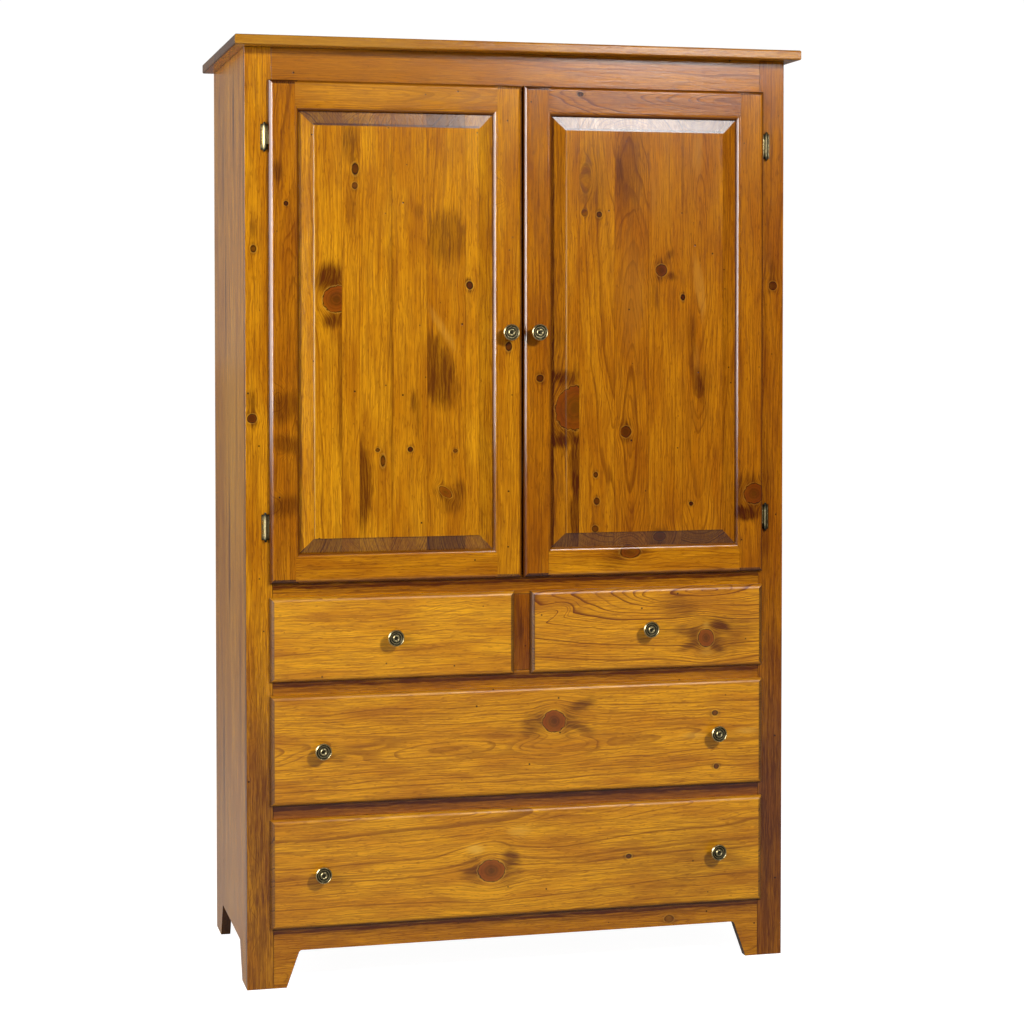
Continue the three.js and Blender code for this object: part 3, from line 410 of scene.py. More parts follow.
def sawn_wood(name, node, across, along, seed, look, planks=None, knots=(), stains_and_painted_shade=(), pales_and_painted_highlights=(),
              domes=(), tone=1.0, specks=0.5, ring=1.0, streaks=0.18, gloss=0.14, edge=None):
    """A planed and sanded board: the eye sees growth rings that run round the knots, streaks and
    flecks along the grain, and soft patches. Boards that are stained get a satin lacquer too.
    planks: rows of [where it starts across, pith across, pith depth, slope, tone]."""
    material, tree = new_material(name)
    low, high = (v * PER_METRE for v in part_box(node))
    centre = (low + high) / 2
    coords = add(tree, "ShaderNodeTexCoord")
    mm = add(tree, "ShaderNodeVectorMath", {0: coords.outputs["Object"], "Scale": PER_METRE},
             operation="SCALE")
    parts = add(tree, "ShaderNodeSeparateXYZ", {0: mm}).outputs
    inward = next(a for a in "yxz" if a not in (across, along))
    wide, long, deep = (parts["xyz".index(a)] for a in (across, along, inward))
    place = add(tree, "ShaderNodeCombineXYZ", {0: wide, 1: long}).outputs[0]
    flip = across == "z"
    pith, kind, seam = planked(tree, wide, planks or [PLAIN_PLANK], centre["xyz".index(along)],
                               seed)
    shift = add(tree, "ShaderNodeMath", {0: kind["Y"], 1: NOISE_APART}, operation="MULTIPLY")
    sunk = add(tree, "ShaderNodeMath", {0: deep, 1: centre["xyz".index(inward)]},
               operation="SUBTRACT")

    # Knots first: what lies about them follows the grain that they push aside.
    ragged = add(tree, "ShaderNodeVectorMath", {0: place, 1: KNOT_EDGE_PER_MM},
                 operation="MULTIPLY")
    ragged = add(tree, "ShaderNodeTexNoise", {"Vector": ragged, "Scale": 1.0, "Detail": 2.0})
    ragged = add(tree, "ShaderNodeMath", {0: ragged.outputs["Fac"], 1: 0.5}, operation="SUBTRACT")
    lacing = add(tree, "ShaderNodeCombineXYZ", {
        0: add(tree, "ShaderNodeMath", {0: wide, 1: 1 / FEATHER[0]}, operation="MULTIPLY"),
        1: add(tree, "ShaderNodeMath", {0: long, 1: 1 / FEATHER[1]}, operation="MULTIPLY"),
        2: shift})
    lacing = add(tree, "ShaderNodeTexNoise", {"Vector": lacing, "Scale": 1.0, "Detail": 2.0})
    lacing = add(tree, "ShaderNodeMath", {0: lacing.outputs["Fac"], 1: 0.5}, operation="SUBTRACT")
    chain = strung(tree, KNOT, knots, flip, {
        "Place": place, "Ragged": ragged.outputs[0], "Feather": lacing.outputs[0]},
        {"Flow": wide, "Core": 0.0, "Rim": 0.0, "Pale": 0.0, "Dark": 0.0, "Inner": 0.0})
    flow = chain["Flow"]

    def drawn(width, length, octaves, roughness, apart, path=flow):
        """Noise drawn out along the grain, different on each plank."""
        start = add(tree, "ShaderNodeMath", {0: shift, 1: apart}, operation="ADD")
        at = add(tree, "ShaderNodeCombineXYZ", {
            0: add(tree, "ShaderNodeMath", {0: path, 1: 1 / width}, operation="MULTIPLY"),
            1: add(tree, "ShaderNodeMath", {0: long, 1: 1 / length}, operation="MULTIPLY"),
            2: add(tree, "ShaderNodeMath", {0: sunk, 1: 1 / width, 2: start},
                   operation="MULTIPLY_ADD")})
        return add(tree, "ShaderNodeTexNoise", {
            "Vector": at, "Scale": 1.0, "Detail": octaves, "Roughness": roughness}).outputs["Fac"]

    waver = add(tree, "ShaderNodeMath", {0: drawn(*WAVER), 1: FIBRES_STRAY, 2: flow},
                operation="MULTIPLY_ADD")
    turned = add(tree, "ShaderNodeSeparateXYZ", {0: coords.outputs["Normal"]}).outputs
    endwise, facing = (
        add(tree, "ShaderNodeMath", {0: turned["xyz".index(a)]}, operation="ABSOLUTE")
        for a in (along, inward))
    marks = {}
    for mark, value in (
        ("mottle", drawn(*MOTTLE)), ("streak", drawn(*STREAK)), ("fibre", drawn(*FIBRE, waver)),
        ("fleck", drawn(*FLECK, waver)), ("knot line", ragged), ("end grain", endwise),
        ("shaped edge", facing),
    ):
        none, full = SHOWS[mark]
        marks[mark] = add(tree, "ShaderNodeMapRange", {
            "Value": value, "From Min": none, "From Max": full}, interpolation_type="SMOOTHSTEP")

    # Growth rings about a pith line behind the face, which runs out of the board along it. End
    # grain shows them as arcs.
    steep = add(tree, "ShaderNodeMath", {0: marks["end grain"], 1: END_RINGS, 2: 1.0},
                operation="MULTIPLY_ADD")
    steeped = add(tree, "ShaderNodeMath", {0: sunk, 1: steep}, operation="MULTIPLY")
    aside = add(tree, "ShaderNodeMath", {0: flow, 1: pith["X"]}, operation="SUBTRACT")
    behind = add(tree, "ShaderNodeMath", {0: long, 1: pith["Z"], 2: pith["Y"]},
                 operation="MULTIPLY_ADD")
    behind = add(tree, "ShaderNodeMath", {0: behind, 1: steeped}, operation="ADD")
    radius = add(tree, "ShaderNodeVectorMath", {
        0: add(tree, "ShaderNodeCombineXYZ", {0: aside, 1: behind})},
        operation="LENGTH").outputs["Value"]
    radius = add(tree, "ShaderNodeMath", {0: drawn(*WANDER), 1: RINGS_STRAY, 2: radius},
                 operation="MULTIPLY_ADD")
    lift = strung(tree, DOME, domes, flip, {"Place": place}, {"Lift": 0.0})["Lift"]
    radius = add(tree, "ShaderNodeMath", {0: radius, 1: lift}, operation="ADD")
    late = latewood(tree, radius, shift)

    feather = add(tree, "ShaderNodeMath", {0: drawn(*FEATHER), 1: 0.5},
                  operation="SUBTRACT").outputs[0]
    shared = {"Place": place, "Ragged": feather}
    # The stain rows also carry painted shade, under the lips and along the doors' panels, and the
    # pale rows carry painted highlights on the fields' arrises.
    stain = strung(tree, PATCH, stains_and_painted_shade, flip, shared, {"Amount": 0.0})["Amount"]
    pale = strung(tree, PATCH, pales_and_painted_highlights, flip, shared, {"Amount": 0.0})["Amount"]
    speck = specked(tree, mm, seed, specks)

    # End grain drinks more stain, each plank its own share.
    soaks = add(tree, "ShaderNodeTexWhiteNoise", {"W": kind["Y"]}, noise_dimensions="1D")
    soaks = add(tree, "ShaderNodeMath", {0: soaks.outputs["Value"], 1: -END_LOT, 2: look["end"]},
                operation="MULTIPLY_ADD")
    soaks = add(tree, "ShaderNodeMath", {0: late, 1: END_ARCS, 2: soaks}, operation="MULTIPLY_ADD",
                use_clamp=True)
    # Stain lies along the fibres, not in a wash.
    fed = add(tree, "ShaderNodeMath", {0: marks["fibre"], 1: 0.4, 2: 0.8},
              operation="MULTIPLY_ADD")
    cloud, end, stain, dark, bark, sap, tone = (
        add(tree, "ShaderNodeMath", {0: amount, 1: factor}, operation="MULTIPLY")
        for amount, factor in (
            (marks["mottle"], MOTTLED), (marks["end grain"], soaks), (stain, fed),
            (chain["Dark"], fed), (chain["Rim"], marks["knot line"]),
            (chain["Pale"], marks["knot line"]), (kind["X"], tone)))
    colour = coloured(tree, look, cloud, (
        (late, look["rings"] * ring, "line"), (marks["streak"], streaks, "line"),
        (marks["fibre"], 0.5, "line"), (marks["fleck"], look["flecks"], "line"),
        (seam, 0.5, "line"), (pale, 0.75, "pale"), (stain, 1.0, "patch"), (dark, 0.8, "patch"),
        (chain["Core"], 0.92, heartwood(tree, look, chain["Inner"], ragged)),
        (bark, 0.95, "bark"), (sap, 0.25, "pale"), (speck, 0.9, "speck"),
        # Shaped edges and mouldings are darkened by how far they turn from the face: partly stain
        # they drank, partly painted shade.
        (marks["shaped edge"], look["edge"] if edge is None else edge, "patch"),
        (end, 1.0, "butt")), tone)

    height = add(tree, "ShaderNodeMath", {0: late, 1: -RING_DIP, 2: marks["fibre"]},
                 operation="MULTIPLY_ADD")
    height = add(tree, "ShaderNodeMath", {0: speck, 1: -SPECK_DIP, 2: height},
                 operation="MULTIPLY_ADD")
    bump = add(tree, "ShaderNodeBump", {"Strength": 0.25, "Distance": 0.12 * MM, "Height": height})
    rough = add(tree, "ShaderNodeMapRange", {
        "Value": marks["fibre"], "To Min": gloss, "To Max": gloss + SHEEN_VARIES})
    shader = add(tree, "ShaderNodeBsdfPrincipled", {
        "Base Color": colour, "Roughness": rough, "Normal": bump})
    add(tree, "ShaderNodeOutputMaterial", {"Surface": shader})
    return material


RUBBED = ("#CBBA88", 0.22)  # colour and roughness
BLACKENED = ("#191814", 0.48)
BLOTCHES_PER_METRE = 700.0  # each about 1.4 mm across


def antique_brass(name):
    """Brass, turned and blackened, then rubbed back and lacquered: pale metal on what stands
    proud, dark patina in the hollows. The piece's patina attribute says how hollow it is."""
    material, tree = new_material(name)
    coords = add(tree, "ShaderNodeTexCoord")
    patina = add(tree, "ShaderNodeAttribute", attribute_name="patina")
    grain = add(tree, "ShaderNodeTexNoise", {
        "Vector": coords.outputs["Object"], "Scale": BLOTCHES_PER_METRE, "Detail": 3.0})
    grain = add(tree, "ShaderNodeMath", {0: grain.outputs["Fac"], 1: 0.5}, operation="SUBTRACT")
    dark = add(tree, "ShaderNodeMath", {0: grain, 1: 0.5, 2: patina.outputs["Fac"]},
               operation="MULTIPLY_ADD", use_clamp=True)
    colour = add(tree, "ShaderNodeMix", {
        0: dark, 6: linear(RUBBED[0]), 7: linear(BLACKENED[0])}, data_type="RGBA")
    rough = add(tree, "ShaderNodeMapRange", {
        "Value": dark, "To Min": RUBBED[1], "To Max": BLACKENED[1]})
    bump = add(tree, "ShaderNodeBump", {"Strength": 0.3, "Distance": 0.1 * MM, "Height": grain})
    shader = add(tree, "ShaderNodeBsdfPrincipled", {
        "Base Color": colour, "Roughness": rough, "Metallic": 1.0, "Normal": bump})
    add(tree, "ShaderNodeOutputMaterial", {"Surface": shader})
    return material


# Shapes

# Degrees at the turns of a door panel: bevel to tongue, and the mitre between two bevels.
CRISP_TURNS = (11.0, 15.4)
TURN_SLACK = 1.5
SMOOTH_BELOW = 35.0  # degrees
SQUARE_ABOVE = 1.0  # radians, at an edge that can be eased
SAME_POINT = 0.004 * MM
SAME_PLANE = math.radians(0.6)


def finished(name, bm, material, body, replaced, sharp=SMOOTH_BELOW):
    """Makes a piece of a bmesh: smooth over small turns, crisp over larger ones and on mitres."""
    for face in bm.faces:
        face.smooth = True
    for edge in bm.edges:
        angle = math.degrees(edge.calc_face_angle(0.0))
        crisp = any(abs(angle - turn) <= TURN_SLACK for turn in CRISP_TURNS)
        edge.smooth = angle < sharp and not crisp
    mesh = bpy.data.meshes.new(name)
    bm.to_mesh(mesh)
    bm.free()
    piece = bpy.data.objects.new(name, mesh)
    bpy.context.scene.collection.objects.link(piece)
    mesh.materials.append(material)
    flat = piece.modifiers.new("flat faces stay flat", "WEIGHTED_NORMAL")
    flat.keep_sharp = True
    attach(piece, body)
    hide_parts(*replaced)
    return piece


def merged_copy(node):
    """The node's solid as a bmesh with whole faces instead of loose triangles."""
    bm = bmesh.new()
    bm.from_mesh(nodes[node].data)
    bmesh.ops.remove_doubles(bm, verts=bm.verts, dist=SAME_POINT)
    bmesh.ops.dissolve_limit(bm, angle_limit=SAME_PLANE, verts=bm.verts, edges=bm.edges)
    return bm


def dressed(node, material, arrises, ease):
    """A copy of the node's solid in the given finish, with the arrises that the test picks, if
    there is one, eased by ease mm. The test gets the edge's two ends in mm."""
    bm = merged_copy(node)
    if arrises:
        edges = [e for e in bm.edges if e.is_convex and e.calc_face_angle(0.0) > SQUARE_ABOVE
                 and arrises(*(v.co * PER_METRE for v in e.verts))]
        bmesh.ops.bevel(bm, geom=edges, offset=ease * MM, offset_type="OFFSET", segments=2,
                        profile=0.5, affect="EDGES", clamp_overlap=True, material=-1)
    return finished(node + "_wood", bm, material, body_of[node], [node])


def finish_node(node, material):
    """Gives a CAD node that keeps its shape a better finish."""
    for slot in nodes[node].material_slots:
        slot.material = material


# The camera, where the photograph was taken from

STAND = Vector((-1093.1, -4536.8, 1259.4)) * MM
YAW = 13.994  # degrees to the right of straight ahead
PITCH = 1.659  # degrees down
FOCAL_PIXELS = 2309.0
IMAGE_PIXELS = 1024.0
MIDDLE_ROW = 388.8  # row of the picture that the lens looks at

lens = bpy.data.cameras.new("camera")
lens.sensor_width = 36.0
lens.lens = FOCAL_PIXELS / IMAGE_PIXELS * lens.sensor_width
lens.shift_y = -(IMAGE_PIXELS / 2 - MIDDLE_ROW) / IMAGE_PIXELS
lens.clip_end = 200.0
camera = bpy.data.objects.new("camera", lens)
camera.location = STAND
camera.rotation_euler = (math.radians(90 - PITCH), 0.0, math.radians(-YAW))
bpy.context.scene.collection.objects.link(camera)
bpy.context.scene.camera = camera


# The studio

def softbox(name, place, target, width, height, watts, glossy=True, diffuse=True):
    light = bpy.data.lights.new(name, "AREA")
    light.shape = "RECTANGLE"
    light.size = width
    light.size_y = height
    light.energy = watts
    lamp = bpy.data.objects.new(name, light)
    lamp.location = place
    lamp.rotation_euler = (Vector(target) - Vector(place)).to_track_quat("-Z", "Y").to_euler()
    lamp.visible_glossy = glossy
    lamp.visible_diffuse = diffuse
    lamp.visible_camera = False
    bpy.context.scene.collection.objects.link(lamp)


DOORS = -0.24  # the doors' faces, in metres along Y

# Where each one stands follows from what it does in the photograph. The main one throws the
# knobs' shadows to the lower left, and those under the lips and the top board. The broad one at
# the left softens them and dims towards the right; another lights the side.
softbox("main_softbox", (1.6, -3.74, 3.05), (0.0, DOORS, 1.0), 0.5, 0.5, 184, glossy=False)
softbox("left_softbox", (-2.65, -2.03, 1.7), (0.0, DOORS, 1.2), 1.2, 1.8, 62, glossy=False)
softbox("side_softbox", (-3.2, 0.6, 1.7), (-0.53, 0.0, 1.0), 1.2, 1.6, 48, glossy=False)
# The tall one is mirrored in the doors' top bevels and top rails, and the white wall in every
# edge that faces left.
softbox("tall_softbox", (1.52, -4.05, 3.5), (1.52, 0.0, 3.5), 0.95, 1.15, 78, diffuse=False)
softbox("its_lower_half", (1.52, -4.05, 2.6), (1.52, 0.0, 2.6), 0.95, 0.65, 34, diffuse=False)
softbox("its_spill", (0.5, -4.05, 3.1), (0.5, 0.0, 3.1), 1.05, 1.8, 3, diffuse=False)
softbox("white_wall", (-2.6, -1.0, 1.9), (0.0, -1.0, 1.9), 3.2, 2.0, 190, diffuse=False)
softbox("its_lit_end", (-2.6, -3.8, 1.9), (0.0, -3.8, 1.9), 2.4, 2.0, 320, diffuse=False)
# Two more light the top and the back.
softbox("above", (0.0, 0.3, 5.0), (0.0, 0.3, 0.0), 4.0, 4.0, 42, glossy=False)
softbox("behind", (2.6, 3.6, 2.6), (0.0, 0.2, 0.9), 2.0, 2.0, 25, glossy=False)

WHITE = (1.0, 1.0, 1.0, 1.0)
ROOM_DIM = 0.045  # light from the room behind the camera
ROOM_WHITE = 0.23  # and from the white walls behind the armoire
ROOM_TURNS = (-0.9, 0.3)  # the Y of a direction, from the first to the second
BACKDROP = 1.02  # as the camera sees it

world = bpy.data.worlds.new("studio")
world.use_nodes = True
sky = world.node_tree
sky.nodes.clear()
way = add(sky, "ShaderNodeSeparateXYZ", {0: add(sky, "ShaderNodeTexCoord").outputs["Generated"]})
ahead = add(sky, "ShaderNodeMapRange", {
    "Value": way.outputs["Y"], "From Min": ROOM_TURNS[0], "From Max": ROOM_TURNS[1],
    "To Min": ROOM_DIM, "To Max": ROOM_WHITE}, interpolation_type="SMOOTHSTEP")
walls = add(sky, "ShaderNodeBackground", {"Color": WHITE, "Strength": ahead})
seen = add(sky, "ShaderNodeBackground", {"Color": WHITE, "Strength": BACKDROP})
straight = add(sky, "ShaderNodeLightPath").outputs["Is Camera Ray"]
add(sky, "ShaderNodeOutputWorld", {
    "Surface": add(sky, "ShaderNodeMixShader", {0: straight, 1: walls, 2: seen})})
bpy.context.scene.world = world
bpy.context.scene.view_settings.view_transform = "Standard"

PAPER_BRIGHT = 0.97  # as the camera sees it
PAPER_MIRRORED = 0.09  # as lacquer mirrors it near the armoire
MIRROR_FADES = (-4.5, -1.0)  # metres along Y: where that is nothing yet, and where it is full
PAPER_GREYS = (0.26, 0.28)  # it throws little light up
FLOOR_HALF = 60.0  # metres

paper, paper_tree = new_material("white paper floor")
path = add(paper_tree, "ShaderNodeLightPath").outputs
spot = add(paper_tree, "ShaderNodeTexCoord").outputs["Object"]
near = add(paper_tree, "ShaderNodeMapRange", {
    "Value": add(paper_tree, "ShaderNodeSeparateXYZ", {0: spot}).outputs["Y"],
    "From Min": MIRROR_FADES[0], "From Max": MIRROR_FADES[1], "To Max": PAPER_MIRRORED},
    interpolation_type="SMOOTHSTEP")
near = add(paper_tree, "ShaderNodeMath", {0: near, 1: path["Is Glossy Ray"]}, operation="MULTIPLY")
glow = add(paper_tree, "ShaderNodeMath", {0: path["Is Camera Ray"], 1: PAPER_BRIGHT, 2: near},
           operation="MULTIPLY_ADD")
fibres = add(paper_tree, "ShaderNodeTexNoise", {"Vector": spot, "Scale": 3.0})
fibres = add(paper_tree, "ShaderNodeMapRange", {
    "Value": fibres.outputs["Fac"], "To Min": PAPER_GREYS[0], "To Max": PAPER_GREYS[1]})
add(paper_tree, "ShaderNodeOutputMaterial", {"Surface": add(
    paper_tree, "ShaderNodeBsdfPrincipled", {
        "Base Color": add(paper_tree, "ShaderNodeCombineColor", {0: fibres, 1: fibres, 2: fibres}),
        "Roughness": 0.9, "Specular IOR Level": 0.1, "Emission Color": WHITE,
        "Emission Strength": glow})})
bm = bmesh.new()
bmesh.ops.create_grid(bm, x_segments=1, y_segments=1, size=FLOOR_HALF)
floor_mesh = bpy.data.meshes.new("floor")
bm.to_mesh(floor_mesh)
bm.free()
floor = bpy.data.objects.new("floor", floor_mesh)
floor_mesh.materials.append(paper)
bpy.context.scene.collection.objects.link(floor)


# The boards: which way the grain runs, and what is on each one's face, in mm on the face

def in_mm(place):
    """A place from the frame, in mm to the hundredth."""
    return [round(c * PER_METRE, 2) for c in place]


FACE = in_mm(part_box("left_face_stile")[0])[1]  # front of the face frame
DOOR_FACE = in_mm(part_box("left_door_hinge_stile")[0])[1]
DRAWER_FACE = in_mm(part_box("left_small_drawer_front")[0])[1]
FIELD_FACE = in_mm(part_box("left_door_panel")[0])[1]  # front of the doors' raised fields

# How a board lies: the axis across its grain, and the axis along it
UPRIGHT = ("x", "z")
LEVEL = ("z", "x")
FLAT = ("y", "x")
SIDEWAYS = ("y", "z")
BOX_SIDE = ("z", "y")
BOX_BOTTOM = ("x", "y")

WHOLE = 2000  # mm, more than any board: half the length of a line that runs all along one


def painted_lip_shadow(node):
    """Painted shadow on the rail under that node's lip: a dark line and a softer one below it. They
    widen the lip's cast shadow to what the photograph shows there."""
    bottom = in_mm(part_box(node)[0])[2]
    return [[0, bottom - 5, WHOLE, 7, 0, 0.75, 0.5], [0, bottom - 13, WHOLE, 11, 0, 0.4, 0.2]]
